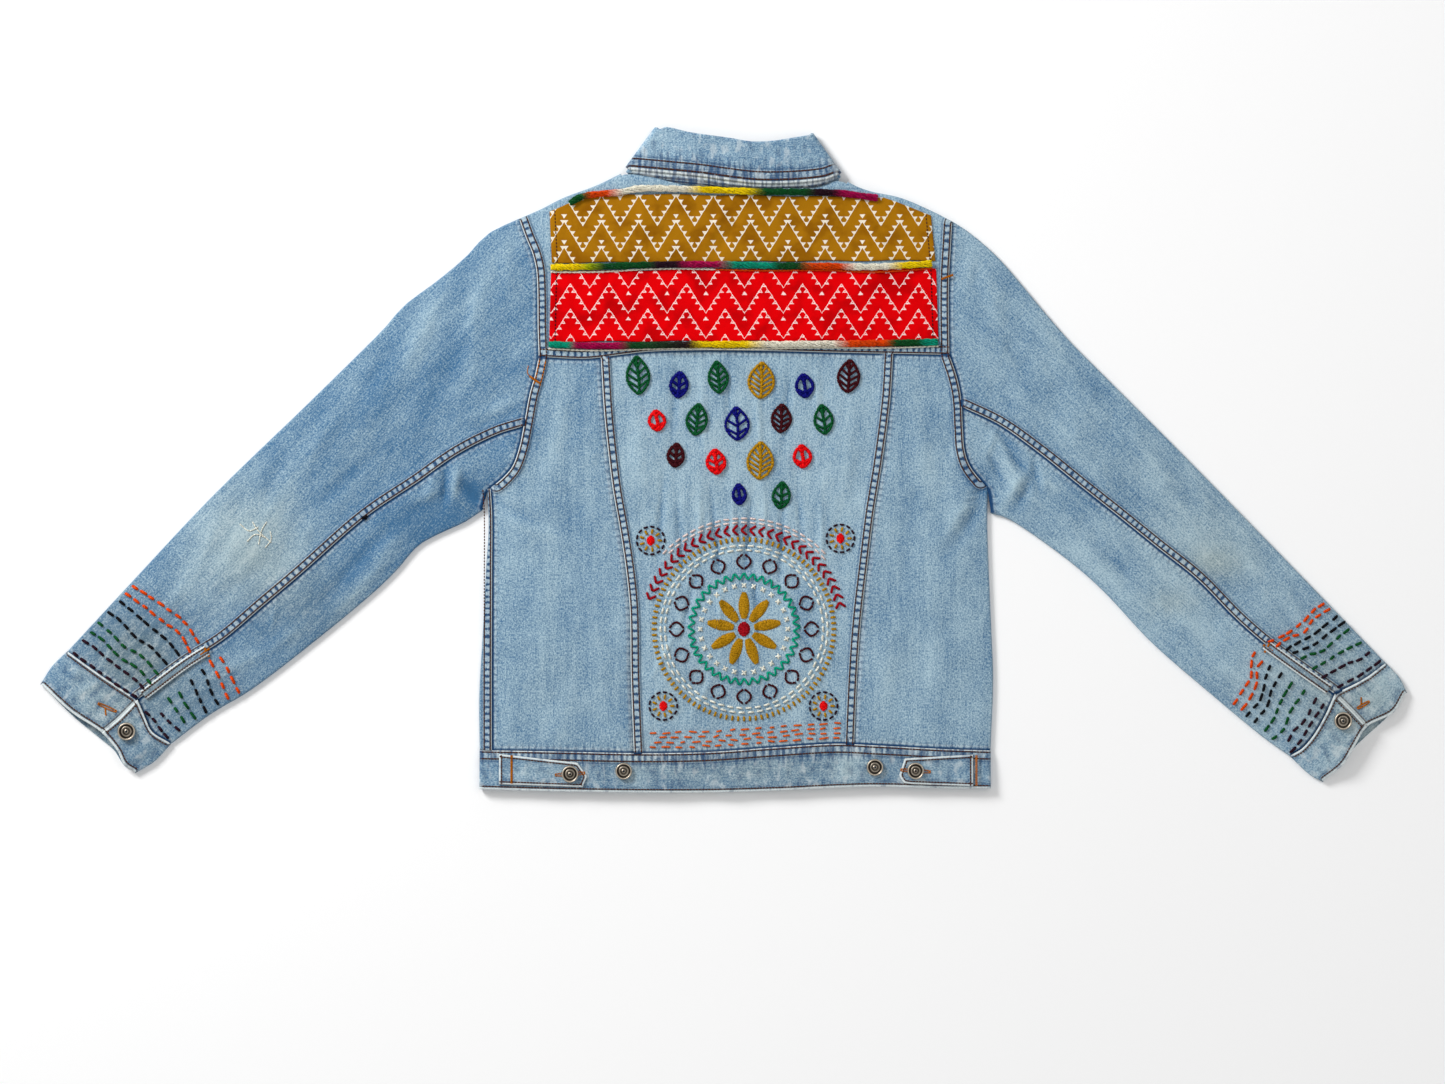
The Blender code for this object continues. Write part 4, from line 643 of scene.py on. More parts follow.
def printed(name, inks):
    # charted rows: a thin zigzag, small triangles standing on it by their tips, and one more over each peak
    g, chart = Graph(name + "Print"), charts[name]
    weave, blot = g.woven(0.45, 0.45, 1.0, 0.5), g.woven(1.6, 1.6, 2.0, 0.6)
    shake, cloud = g.woven(4.5, 4.5, 2.0, 0.6), g.woven(26.0, 26.0, 3.0, 0.55)
    x, y = g.parts(g.scaled(g.cutMap(), 1.0, 1.0))
    x = x + (shake - 0.5) * chart["shake"] - chart["peak"]
    y = y * chart["way"] + (blot - 0.5) * chart["shake"] * 0.7 - chart["trough"]
    half, slope = chart["period"] / 2, chart["rise"] / (chart["period"] / 2)
    share = ((x / chart["period"]).function("FRACT") * 2 - 1).size()
    above = y - share * chart["rise"]
    row = (above / chart["row"]).function("FLOOR")
    line = g.step(above - row * chart["row"], chart["line"] + 0.5, chart["line"])
    height = y - row * chart["row"]
    tip = (height / chart["tooth"]).function("FLOOR") * chart["tooth"]
    wide, tall = chart["triangle"]
    up = height - tip
    within = up * (wide / tall) - (share * half - tip / slope).size()
    teeth = g.step(within, -0.2, 0.35) * g.step(up, tall + 0.4, tall) * (tip < chart["rise"] - 1.0)
    teeth = teeth * (1 - g.step(within, 0.55, 0.95) * g.step(up, tall - 1.0, tall - 0.6, chart["open"], 0.0))
    up = height - chart["rise"] - chart["above"]
    single = g.step(up * (wide / tall) - (1 - share) * half, -0.2, 0.35) * g.step(up, tall + 0.4, tall)
    marks = (line + teeth + single).function("MINIMUM", 1.0) * g.step(blot, 0.26, 0.44, chart["hollow"], 1.0)
    ground = g.mix(g.step(cloud, 0.42, 0.68, 0.0, 0.75), inks[0], inks[1])
    ground = g.mix(g.step(weave, 0.35, 0.7, 0.0, 0.28), ground, inks[1])
    normal = g.bump(weave, 0.0002, 0.5, g.bump(cloud, 0.0012, 0.35))
    g.set(specular=0.03)
    colour = g.mix(marks * 0.94, ground, inks[2])
    return g.finish(colour=colour, roughness=0.84 + (weave - 0.5) * 0.1, normal=normal)


def thread(name, colour):
    # twisted thread: its colour lighter and darker by fine noise
    g = Graph(name)
    fine = g.noise(g.place(), 2.0, 0.6, 900.0)
    light = tuple(min(1.0, value * 1.3 + 0.008) for value in colour[:3]) + (1.0,)
    dark = tuple(value * 0.5 for value in colour[:3]) + (1.0,)
    mixed = g.mix(g.step(fine, 0.32, 0.68), dark, light)
    g.set(specular=0.03)
    return g.finish(colour=mixed, roughness=0.66 + (fine - 0.5) * 0.1, normal=g.bump(fine, 0.0002, 0.5))


def brushedYarn(name, dye):
    # dyed in lengths: the colour follows how far along the yarn each point is, with painted shade between its
    # fibres
    g = Graph(name)
    fibre = g.noise(g.place(), 3.0, 0.7, 620.0)
    ends = g.attribute("along") + (fibre - 0.5) * 0.035
    stops = [(share, threads[colour]) for colour, *shares in dye for share in shares]
    colour = g.add("ValToRGB", {}, [ends], output="Color")
    dyed = colour.socket.node.color_ramp.elements
    for number, (place, tone) in enumerate(stops):
        stop = dyed[number] if number < 2 else dyed.new(place)
        stop.position = place
        stop.color = tone
    colour = g.mix(g.step(fibre, 0.56, 0.8, 0.0, 0.12), colour, threads["white"])
    # painted shade: near black where the fibre noise is low, for the gaps between fibres
    colour = g.mix(g.step(fibre, 0.5, 0.3, 0.0, 0.75), colour, (0.012, 0.01, 0.01, 1.0))
    g.set(sheen=0.02, sheenRoughness=0.5, specular=0.05)
    return g.finish(colour=colour, roughness=0.95, normal=g.bump(fibre, 0.0008, 0.9))


def metal(name, colour, dark):
    # cast button metal, rubbed bright on its high parts, with painted shade darkening its low ones and its
    # underside
    g = Graph(name)
    grain, wear = g.noise(g.place(), 3.0, 0.6, 700.0), g.noise(g.place(), 2.0, 0.6, 180.0)
    # painted shade in the button's recesses, from the low attribute, varied by the wear noise
    shade = g.mix((g.attribute("low") + (wear - 0.5) * 0.3).function("MINIMUM", 1.0), colour, dark)
    g.set(specular=0.6)
    normal = g.bump(grain, 0.00006, 0.4)
    return g.finish(colour=shade, roughness=0.28 + grain * 0.22, normal=normal, metallic=0.92)


charts = {  # the two prints, in millimetres: each repeat, its zigzag, its triangles, and how worn it is
    "mustard": {
        "period": 35.35, "peak": -20.6, "trough": 510.4, "row": 24.6, "rise": 28.6, "tooth": 5.3,
        "triangle": (2.6, 3.7), "open": 0.15, "line": 1.1, "above": 3.4, "shake": 1.4, "hollow": 0.55, "way": 1.0},
    "red": {
        "period": 36.7, "peak": 9.0, "trough": -481.0, "row": 24.0, "rise": 28.0, "tooth": 5.4,
        "triangle": (2.4, 3.4), "open": 0.8, "line": 0.7, "above": 3.6, "shake": 2.2, "hollow": 0.2, "way": -1.0},
}
materials = {
    "denim": denim("denimPale"),
    "band": denim("denimFolded", 0.85),
    "mustard": printed("mustard", (paint(166, 112, 12), paint(126, 76, 4), paint(236, 230, 214))),
    "red": printed("red", (paint(226, 0, 6), paint(172, 0, 4), paint(248, 226, 222))),
    "metal": metal("buttonMetal", (0.60, 0.52, 0.42, 1.0), (0.02, 0.016, 0.012, 1.0)),
}
print("materials made")


# Making pieces

def merged(grids):  # all the grids' points, each shared point once, and their faces
    points, faces, passed = [], [], 0
    for grid in grids:
        rows, columns = grid.shape[:2]
        index = np.arange(rows * columns).reshape(rows, columns) + passed
        corners = [index[:-1, :-1], index[:-1, 1:], index[1:, 1:], index[1:, :-1]]
        faces.append(np.stack(corners, axis=-1).reshape(-1, 4))
        points.append(grid.reshape(-1, grid.shape[2]))
        passed += rows * columns
    points, faces = np.vstack(points), np.vstack(faces)
    _, first, owner = np.unique(np.round(points, 4), axis=0, return_index=True, return_inverse=True)
    faces = owner.reshape(-1)[faces]
    proper = (faces != np.roll(faces, -1, axis=1)).all(axis=1)
    return points[first], faces[proper]


def meshOf(name, points, faces, attributes={}, cut=None):
    # points are millimetres on the flat jacket, and the mesh takes them in metres at their place in the frame
    mesh = bpy.data.meshes.new(name)
    mesh.from_pydata((points * mm + origin).tolist(), [], [list(face) for face in faces])
    for key, values in attributes.items():
        mesh.attributes.new(key, "FLOAT", "POINT").data.foreach_set("value", values.astype(np.float32))
    if cut is not None:
        corner = np.empty(len(mesh.loops), np.int32)
        mesh.loops.foreach_get("vertex_index", corner)
        mesh.uv_layers.new(name="cut").data.foreach_set("uv", (cut * mm)[corner].astype(np.float32).ravel())
    return mesh


def shown(name, mesh, material):
    piece = bpy.data.objects.new(name, mesh)
    bpy.context.scene.collection.objects.link(piece)
    mesh.materials.append(material)
    mesh.shade_smooth()
    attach(piece, "root")
    return piece


def faceOutwards(mesh, upwards):
    # one way round for every face, and the topmost level one up, or down on a piece that is seen from below
    shell = bmesh.new()
    shell.from_mesh(mesh)
    bmesh.ops.recalc_face_normals(shell, faces=shell.faces)
    shell.normal_update()
    level = [face for face in shell.faces if abs(face.normal.z) > 0.6]
    outermost = max(level, key=lambda face: face.calc_center_median().z)
    if (outermost.normal.z > 0) != upwards:
        bmesh.ops.reverse_faces(shell, faces=shell.faces)
    shell.to_mesh(mesh)
    shell.free()


def washAt(plan, base):  # broad faded and darker places, as soft bells, two of them painted shade in the armpits
    wash, tint = np.full(len(plan), base), np.zeros(len(plan))
    for x, y, reachX, reachY, lighter, olive in fadesAndShadows:
        bell = np.exp(-(((plan[:, 0] - x) / reachX) ** 2) - ((plan[:, 1] - y) / reachY) ** 2)
        wash += lighter * bell
        tint += olive * bell
    return wash, np.clip(tint, 0.0, 1.0)


fadesAndShadows = (  # x, y, reach across, reach up, how much lighter, how much greyer
    (-460, 238, 50, 50, 0.3, 0.6), (-430, 190, 50, 40, 0.06, 0.2), (-370, 330, 60, 40, -0.12, 0.1),
    (-560, 130, 50, 44, -0.22, 0.45), (-590, 150, 44, 40, -0.1, 0.3), (-330, 385, 60, 30, -0.12, 0),
    (-300, 450, 50, 40, 0.08, 0), (-230, 420, 50, 60, -0.04, 0), (-300, 262, 60, 30, -0.16, 0),
    (-400, 170, 60, 40, -0.06, 0.3), (-500, 90, 50, 40, 0.06, 0.3), (-520, 190, 40, 40, 0, 0.2),
    (455, 216, 26, 16, 0.1, 0.6), (415, 178, 22, 14, 0.1, 0.5), (560, 110, 44, 40, -0.06, 0.3),
    (450, 235, 60, 50, 0.12, 0.3), (400, 300, 60, 40, 0.02, 0.1), (560, 130, 60, 50, 0.1, 0.2),
    (300, 440, 50, 40, 0.04, 0), (300, 275, 60, 30, -0.14, 0), (500, 90, 50, 40, 0.02, 0.2),
    (-170, 350, 50, 30, -0.06, 0), (-150, 230, 50, 60, 0.03, 0), (-170, 100, 50, 40, 0.04, 0.1),
    (180, 350, 50, 30, -0.08, 0), (170, 220, 50, 60, 0.02, 0), (180, 90, 50, 40, 0.06, 0),
    (0, 300, 90, 60, 0.03, 0.1), (0, 90, 90, 60, -0.06, 0.2), (-96, 18, 12, 20, 0.35, 0),
    (106, 20, 12, 20, 0.35, 0), (0, 20, 200, 24, -0.04, 0.55), (-180, 14, 40, 12, 0.05, 0),
    # (232, 296) and (-250, 282) are painted shade in the armpits
    (232, 296, 15, 16, -0.32, 0), (-250, 282, 16, 14, -0.14, 0), (-596, 70, 60, 50, 0.04, 0.6),
    (600, 66, 54, 50, 0.04, 0.6), (-560, 120, 40, 36, -0.04, 0.35),
)


def clothPiece(name, grids, cut, look="denim", over=(), beside=(), rims=(), wash=0.42, ridge=1.0, span=1.0,
               rimSpan=1.0, shell=None, grain=90.0, upwards=True, hidden=False, slot="denim", rests=()):
    # one cloth piece: its outer face from grids, relief, wear and painted shade along its seams, then a thin wall
    # inwards
    points, faces = merged(grids)
    plan = points[:, :2]
    upper, far = (points[:, 2] > jacket["upperStart"] + neckLift(plan)) & (not hidden), 99.0
    edge, side, rim, run = np.full((4, len(points)), far)
    for line, own in [(line, True) for line in over] + [(line, False) for line in beside]:
        away, place = lineField(plan, line)
        away = np.where(upper, away / (span if own else 1.0), far)
        run = np.where(away < np.minimum(edge, side), place, run)
        edge, side = (np.minimum(edge, away), side) if own else (edge, np.minimum(side, away))
    for line in rims:
        rim = np.minimum(rim, np.where(upper, lineField(plan, line)[0] / rimSpan, far))
    points = points.copy()
    points[:, 2] += np.where(edge < 20, seamRelief(edge * span, run, ridge, span), 0.0)
    points[:, 2] += np.where((side < 30) & (edge > 3), besideRelief(side, run), 0.0)
    lighter, olive = washAt(plan, wash)
    # lighter on crease ridges and darker in their troughs: partly wear, partly painted shade
    lighter += np.where(upper, 0.16 * creased(plan, fineCreases) + 0.05 * creased(plan, mainCreases), 0.0)
    turn = math.radians(grain)
    across, along = [math.sin(turn), -math.cos(turn)], [math.cos(turn), math.sin(turn)]
    flat = np.column_stack([plan @ across, plan @ along])
    flat[:, 0] += 900.0 * ~upper
    fields = {"edge": edge, "run": run, "beside": side, "rim": rim, "wash": lighter, "tint": olive}
    mesh = meshOf(name + "_cloth", points, faces, fields, flat)
    faceOutwards(mesh, upwards)
    piece = shown(name + "_cloth", mesh, materials[look])
    wall = piece.modifiers.new("wall", "SOLIDIFY")
    wall.thickness = (shell or jacket["shell"]) * mm
    wall.offset = -1.0
    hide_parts(name)
    return piece


edges = {"b": (np.s_[0, :], np.s_[1, :]), "t": (np.s_[-1, :], np.s_[-2, :]),
         "l": (np.s_[:, 0], np.s_[:, 1]), "r": (np.s_[:, -1], np.s_[:, -2])}


def tucked(grid, names, amount=None):
    # the named edges of a grid drawn on under the piece that covers them, or back by a hair on the underside
    grid = grid.copy()
    for name in names:
        edge, inner = edges[name]
        away = unit(grid[edge][:, :2] - grid[inner][:, :2])
        high = grid[edge][:, 2] > jacket["upperStart"] + neckLift(grid[edge][:, :2])
        reach = np.where(high, seam["tuck"], seam["gap"]) if amount is None else np.full(len(away), amount)
        grid[edge][:, :2] += reach[:, None] * away
    return grid


def laid(plan, height):
    return np.concatenate([plan, np.broadcast_to(height, plan.shape[:-1])[..., None]], axis=-1)


def foldArc(edge, outward, high, low, radius=2.2, steps=8):
    # half an ellipse round a fold, from high on the upper layer to low on the lower one, a column for each step
    turn = np.linspace(0.0, math.pi, steps + 1)[1:-1]
    plan = edge[:, None] + np.reshape(radius, (-1, 1, 1)) * np.sin(turn)[None, :, None] * outward[:, None]
    middle, half = (high + low)[:, None] / 2, (high - low)[:, None] / 2
    return np.dstack([plan, middle + half * np.cos(turn)])


def wrapArc(edge, inner, lift=0.0):  # the fold along an edge, on the side away from the inner line
    return foldArc(edge, normalsOf(edge, inner), upperTop(edge), lowerBottom(edge, lift))


def borderDistance(plan):
    borders = (plan[:1], plan[-1:], plan[:, :1], plan[:, -1:])
    return np.minimum.reduce([np.linalg.norm(plan - border, axis=-1) for border in borders])


def rounded(distance, wall):  # how far a turned-in edge has rolled down, up to the whole wall
    share = 1 - np.clip(distance / 0.9, 0.0, 1.0)
    return wall * (1 - np.sqrt(np.maximum(1 - share**2, 0.0)))


# The lines that the pieces of one side share

def sideLines(side):
    elbowMiddle = side["elbow"][5]
    shoulder, body = foldLine(side["shoulder"], (0.0, 300.0)), foldLine(side["side"], (0.0, 200.0))
    sleeveKeys = ("sleeveUpper", "sleeveLower", "cuffUpper", "cuffLower")
    upper, lower, cuffUpper, cuffLower = [foldLine(side[key], elbowMiddle) for key in sleeveKeys]
    shoulder[-1] = upper[0] = (shoulder[-1] + upper[0]) / 2
    cuffUpper[0], cuffLower[0] = upper[-1], lower[-1]
    top = body[0] + [jacket["armpitStep"] * side["inward"], 0.0]
    sideSeam = curve([top, *side["sideSeam"]], even(400))[::-1]
    cuffSeam = np.vstack([curve([upper[-1], *side["cuffSeamUpper"]], even(120)),
                          curve([*side["cuffSeamLower"], lower[-1]], even(80))[1:]])
    return {
        "shoulder": shoulder, "upper": upper, "lower": lower, "body": body, "sideSeam": sideSeam,
        "cuffUpper": cuffUpper, "cuffLower": cuffLower, "cuffSeam": cuffSeam,
        "cuffSeamUpper": cuffSeam[:121], "cuffSeamLower": cuffSeam[120:],
        "armYoke": curve([upper[0], *side["armYoke"]], even(200)),
        "armUpper": curve(side["armUpper"], even(120)),
        "armLower": curve([*side["armLower"], body[0]], even(120)),
        "elbow": curve(side["elbow"], even(160)), "princess": curve(side["princess"], even(160)),
    }


lines = {name: sideLines(side) for name, side in sides.items()}
foldKeys = ("shoulder", "upper", "cuffUpper", "lower", "cuffLower", "body")
foldEdges = [shared[key] for shared in lines.values() for key in foldKeys]
foldEdges += [np.array([shared["body"][0], shared["lower"][0]]) for shared in lines.values()]
foldEdges += [np.array(side["collarSide"]) for side in sides.values()]


def coarse(line, count=60):
    return resample(line, even(count))


def gradedLine(line, counts):
    return resample(line, graded(lengthOf(line), counts))


def gradedBetween(key, start, end, counts):
    return between(acrossLines[key], start, end, graded(abs(end - start), counts))


yokeLine, waistLine, hemLine = [curve(acrossLines[key], even(120)) for key in ("yokeSeam", "waist", "hem")]


def atHeight(line, height):  # the points of a line that rises, read at heights
    return np.column_stack([np.interp(height, line[:, 1], line[:, 0]), height])


def levelWith(outer, points):  # points of a seam that runs down the back, level with the rows of the outer edge
    dense = curve(points, even(400))[::-1]
    share = (outer[:, 1] - outer[-1, 1]) / (outer[0, 1] - outer[-1, 1])
    return atHeight(dense, dense[0, 1] + share * (dense[-1, 1] - dense[0, 1]))


def sleeve(name, side, shared):
    # each sleeve piece is one grid, rows down the arm: over the upper layer, round a fold and back beneath
    rows = 232
    upper, lower, elbow = [resample(shared[key], even(rows)) for key in ("upper", "lower", "elbow")]
    arm = np.vstack([shared["armYoke"], shared["armUpper"][1:]])
    armUnder = np.vstack([shared["armLower"], side["besideBody"], shared["lower"][:1]])
    topCounts, lowCounts = (0, 46, 8), (8, 22, 0)
    over = patchGrid(gradedLine(arm, topCounts), gradedLine(shared["cuffSeamUpper"], topCounts), upper, elbow)
    cuffUnder = gradedLine(shared["cuffSeamLower"], lowCounts)
    under = patchGrid(gradedLine(armUnder, lowCounts), cuffUnder, elbow, lower)
    armAll = np.vstack([arm, armUnder[1:]])
    split, cuffSplit = 0.56, 0.67
    middle = (0.4 * upper + 0.6 * lower)[42:-34:42]
    cuffLine, steps = shared["cuffSeam"], even(10)
    frontEnds = [resample(armAll, split)[0], resample(cuffLine, cuffSplit)[0]]
    frontSeam = curve([frontEnds[0], *middle, frontEnds[1]], even(rows))
    front = patchGrid(resample(armAll, split * steps), resample(cuffLine, cuffSplit * steps), upper, frontSeam)
    back = patchGrid(resample(armAll, split + (1 - split) * steps),
                     resample(cuffLine, cuffSplit + (1 - cuffSplit) * steps), frontSeam, lower)
    arc = wrapArc(upper, over[:, 2])
    beneath = laid(front, lowerBottom(front))
    grid = np.concatenate([beneath[:, ::-1], arc[:, ::-1], laid(over, upperTop(over))], axis=1)
    ends = [coarse(armAll, 80), coarse(cuffLine, 30)]
    # the right sleeve's pieces are lighter here and below: their own fading, and painted light that offsets the
    # key light's shade on them
    clothPiece(f"top_sleeve_{name}", [tucked(grid, "bt")], (0.30, 0.60, 0.72), over=[coarse(elbow)], beside=ends,
               wash=0.33 if name == "left" else 0.44, grain=side["sleeveGrain"], rests=[f"under_sleeve_{name}"])
    arc = wrapArc(lower, under[:, -3])
    grid = np.concatenate([laid(under, upperTop(under)), arc, laid(back, lowerBottom(back))[:, ::-1]], axis=1)
    clothPiece(f"under_sleeve_{name}", [tucked(grid, "btl")], (0.24, 0.52, 0.62), slot="denim_side",
               beside=[coarse(elbow), *ends], grain=side["sleeveGrain"] + 3,
               wash=0.22 if name == "left" else 0.52)


def backPanels():
    # rows run level down the back, columns across, closer along the felled seams
    rows, outer, princess = 225, {}, {}
    for name, side in sides.items():
        shared = lines[name]
        arm = np.vstack([shared["armUpper"], shared["armLower"][1:]])
        down = shared["sideSeam"][::-1] if name == "left" else shared["body"]
        outer[name] = resample(np.vstack([arm, down[1:]]), even(rows))
        princess[name] = levelWith(outer[name], side["princess"])

    def panelBetween(left, right, counts):
        top = gradedBetween("yokeSeam", left[0, 0], right[0, 0], counts)
        return patchGrid(top, gradedBetween("waist", left[-1, 0], right[-1, 0], counts), left, right)

    centre = panelBetween(princess["left"], princess["right"], (8, 100, 8))
    seams = [coarse(line, 50) for line in princess.values()]
    clothPiece("back_centre", [tucked(laid(centre, upperTop(centre)), "bt")], (0.30, 0.40, 0.84), over=seams,
               beside=[yokeLine[20:101], waistLine], wash=0.57, rests=["front_left", "front_right"])

    for name, side in sides.items():
        shared = lines[name]
        panel = panelBetween(outer[name], princess[name], (8, 23, 0))
        armEnd = int(np.argmin(np.linalg.norm(outer[name] - shared["body"][0], axis=1)))
        grid = tucked(laid(panel, upperTop(panel)), "btr")
        armLine = resample(np.vstack([shared["armUpper"], shared["armLower"][1:]]), np.linspace(0.0, 0.94, 40))
        beside = [coarse(princess[name], 50), yokeLine, waistLine]
        grids = [grid]
        if name == "left":
            grid[armEnd + 2:, :] = tucked(grid[armEnd + 2:, :], "l")
            beside.append(coarse(outer[name][armEnd:], 40))
        else:
            edge = panel[armEnd:, 0]
            down = atHeight(shared["sideSeam"], edge[:, 1])
            strip = np.stack([edge, (edge + down) / 2, down], axis=1)
            grid[-1, 0, :2] = panel[-1, 0]
            arc = wrapArc(edge, panel[armEnd:, 4])
            grids.append(np.concatenate([grid[armEnd:, :1], arc, laid(strip, lowerBottom(strip))], axis=1))
        clothPiece(f"back_side_{name}", grids, (0.16, 0.39, 0.76), over=[armLine], beside=beside,
                   wash=0.44 if name == "left" else 0.48, slot="denim_side", rests=[f"front_{name}"])


def yoke():
    # rows from the yoke seam up to the neck and shoulders, then round each shoulder fold to just beneath
    shoulderCount, neckCount, rowCounts = 54, 98, (8, 35, 0)
    leftShared, rightShared = lines["left"], lines["right"]
    leftShoulder, rightShoulder = leftShared["shoulder"][::-1], rightShared["shoulder"]
    neckPoints = [leftShoulder[-1], *acrossLines["neck"], rightShoulder[0]]
    across = even(shoulderCount)
    top = np.vstack([resample(leftShoulder, across), curve(neckPoints, even(neckCount))[1:],
                     resample(rightShoulder, across)[1:]])
    share = np.concatenate([0.24 * across, 0.24 + 0.52 * even(neckCount)[1:], 0.76 + 0.24 * across[1:]])
    leftEnd, rightEnd = leftShared["armYoke"][-1, 0], rightShared["armYoke"][-1, 0]
    foot = between(acrossLines["yokeSeam"], leftEnd, rightEnd, share)
    foot[0], foot[-1] = leftShared["armYoke"][-1], rightShared["armYoke"][-1]
    leftArm, rightArm = leftShared["armYoke"][::-1], rightShared["armYoke"][::-1]
    plan = patchGrid(foot, top, gradedLine(leftArm, rowCounts), gradedLine(rightArm, rowCounts))
    for end in (plan, plan[:, ::-1]):  # even columns along the two armholes
        end[:, 1:10] = end[:, :1] + even(9)[None, 1:, None] * (end[:, 9:10] - end[:, :1])
    grid = laid(plan, upperTop(plan))
    count = shoulderCount + 1
    neckEdge = slice(count, -count)
    grid[-1:, neckEdge] = tucked(grid[:, neckEdge], "t", 1.0)[-1:]
    grids = [grid]
    for (name, side), end in zip(sides.items(), (plan, plan[:, ::-1])):
        edge, inner = end[-1, :count], end[-4, :count]
        beneath = edge - jacket["shoulderWrap"] * normalsOf(edge, (0.0, 300.0))
        beneath[-1] = side["frontNeck"][0]
        strip = np.stack([edge, (edge + beneath) / 2, beneath], axis=1)
        start = laid(edge[:, None], upperTop(edge)[:, None])
        grids.append(np.concatenate([start, wrapArc(edge, inner), laid(strip, lowerBottom(strip))], axis=1))
    seams = [yokeLine, coarse(leftArm), coarse(rightArm)]
    clothPiece("back_yoke", grids, (0.44, 0.18, 0.82), over=seams, wash=0.53, rests=["front_left", "front_right"])


def fronts():
    # plain fronts on the underside, the left one brought round the side fold to its felled seam on the back
    for name, side in sides.items():
        shared = lines[name]
        lift = jacket["lift"][name]
        arm = np.vstack([shared["armYoke"][12:], shared["armUpper"][1:], shared["armLower"][1:]])
        down = shared["body"] if name == "left" else shared["sideSeam"][::-1]
        armCount, downCount = 80, 112
        edge = np.vstack([resample(arm, even(armCount)), resample(down, even(downCount))[1:]])
        shoulder = resample(shared["shoulder"][::-1], even(9))
        shoulder = shoulder - jacket["shoulderWrap"] * normalsOf(shoulder, (0.0, 300.0))
        shoulder[0], shoulder[-1] = edge[0], side["frontNeck"][0]
        top = np.vstack([shoulder, curve(side["frontNeck"], even(10))[1:]])
        centre = side["frontNeck"][-1][0]
        foot = between(acrossLines["underWaist"], edge[-1, 0], centre, even(19))
        inner = curve([top[-1], foot[-1]], along(edge))
        plan = patchGrid(top, foot, edge, inner)
        grid = tucked(laid(plan, lowerBottom(plan, lift)), "btr", -0.2)
        grids, over = [grid], []
        if name == "left":
            fold = plan[armCount:, 0]
            across = atHeight(shared["sideSeam"], fold[:, 1])
            strip = across[:, None] + even(8)[None, :, None] * (fold - across)[:, None]
            arc = wrapArc(fold, plan[armCount:, 2], lift)
            grids.append(np.concatenate([laid(strip, upperTop(strip)), arc, grid[armCount:, :1]], axis=1))
            over = [coarse(shared["sideSeam"], 50)]
        clothPiece(f"front_{name}", grids, (0.30, 0.56, 0.72), over=over,
                   upwards=name == "left", hidden=name == "right")


def frontBands():
    x = np.linspace(-jacket["bandHalf"], jacket["bandHalf"], 16)
    top, foot = [np.column_stack([x, np.full(len(x), y)]) for y in jacket["bandEnds"]]
    for name, lift in jacket["lift"].items():
        steps = even(120)[:, None, None]
        plan = (1 - steps) * top + steps * foot
        height = lift + rounded(borderDistance(plan), 0.9) + np.maximum(rolling(plan, "band"), 0)
        clothPiece(f"front_band_{name}", [laid(plan, height)], (0.08, 0.49, 0.5), upwards=False, hidden=True)


def waistband():
    # one band round the hem: rows from its seam down to its rolled edge, columns from end to end
    leftFold, rightFold = lines["left"]["body"][-1], lines["right"]["body"][-1]
    extra = jacket["double"] - jacket["cloth"]
    rolled = {"steps": [0.97, 0.99, 1.0, 1.006, 1.01], "drops": [0.0, 0.08, 0.3, 0.8, 1.5]}
    steps = np.concatenate([graded(37.0, (6, 10, 0), (8.0, 0.0))[:-1], rolled["steps"]])[:, None, None]
    roll = np.concatenate([np.zeros(len(steps) - 5), rolled["drops"]])[:, None]

    def band(startX, endX, count, topLine, under, lift=0.0):
        share = even(count)
        top = between(acrossLines[topLine], startX, endX, share)
        foot = between(acrossLines["hem"], startX, endX, share)
        plan = (1 - steps) * top + steps * foot
        return plan, lowerBottom(plan, lift) + roll if under else upperTop(plan) + extra - roll

    over, height = band(leftFold[0], rightFold[0], 290, "waist", False)
    half, ends = jacket["bandHalf"], []
    for fold, stop, lift in zip((leftFold, rightFold), (half, -half), jacket["lift"].values()):
        plan, low = band(fold[0], stop, 60, "underWaist", True, lift)
        column, inner = (0, 3) if fold[0] < 0 else (-1, -4)
        edge = over[:, column]
        arc = foldArc(edge, normalsOf(edge, over[:, inner]), height[:, column], low[:, 0], radius=2.4)
        ends.append((laid(plan, low), arc))
    left, right = ends
    grid = np.concatenate([left[0][:, ::-1], left[1][:, ::-1], laid(over, height), right[1], right[0]], axis=1)
    cut = (1.04, 0.05, 0.78)
    clothPiece("waistband", [grid], cut, "band", over=[waistLine], rims=[hemLine], ridge=0.0, span=1.09,
               wash=0.40, shell=jacket["foldedShell"], grain=0.0, rests=["front_left", "front_right"])


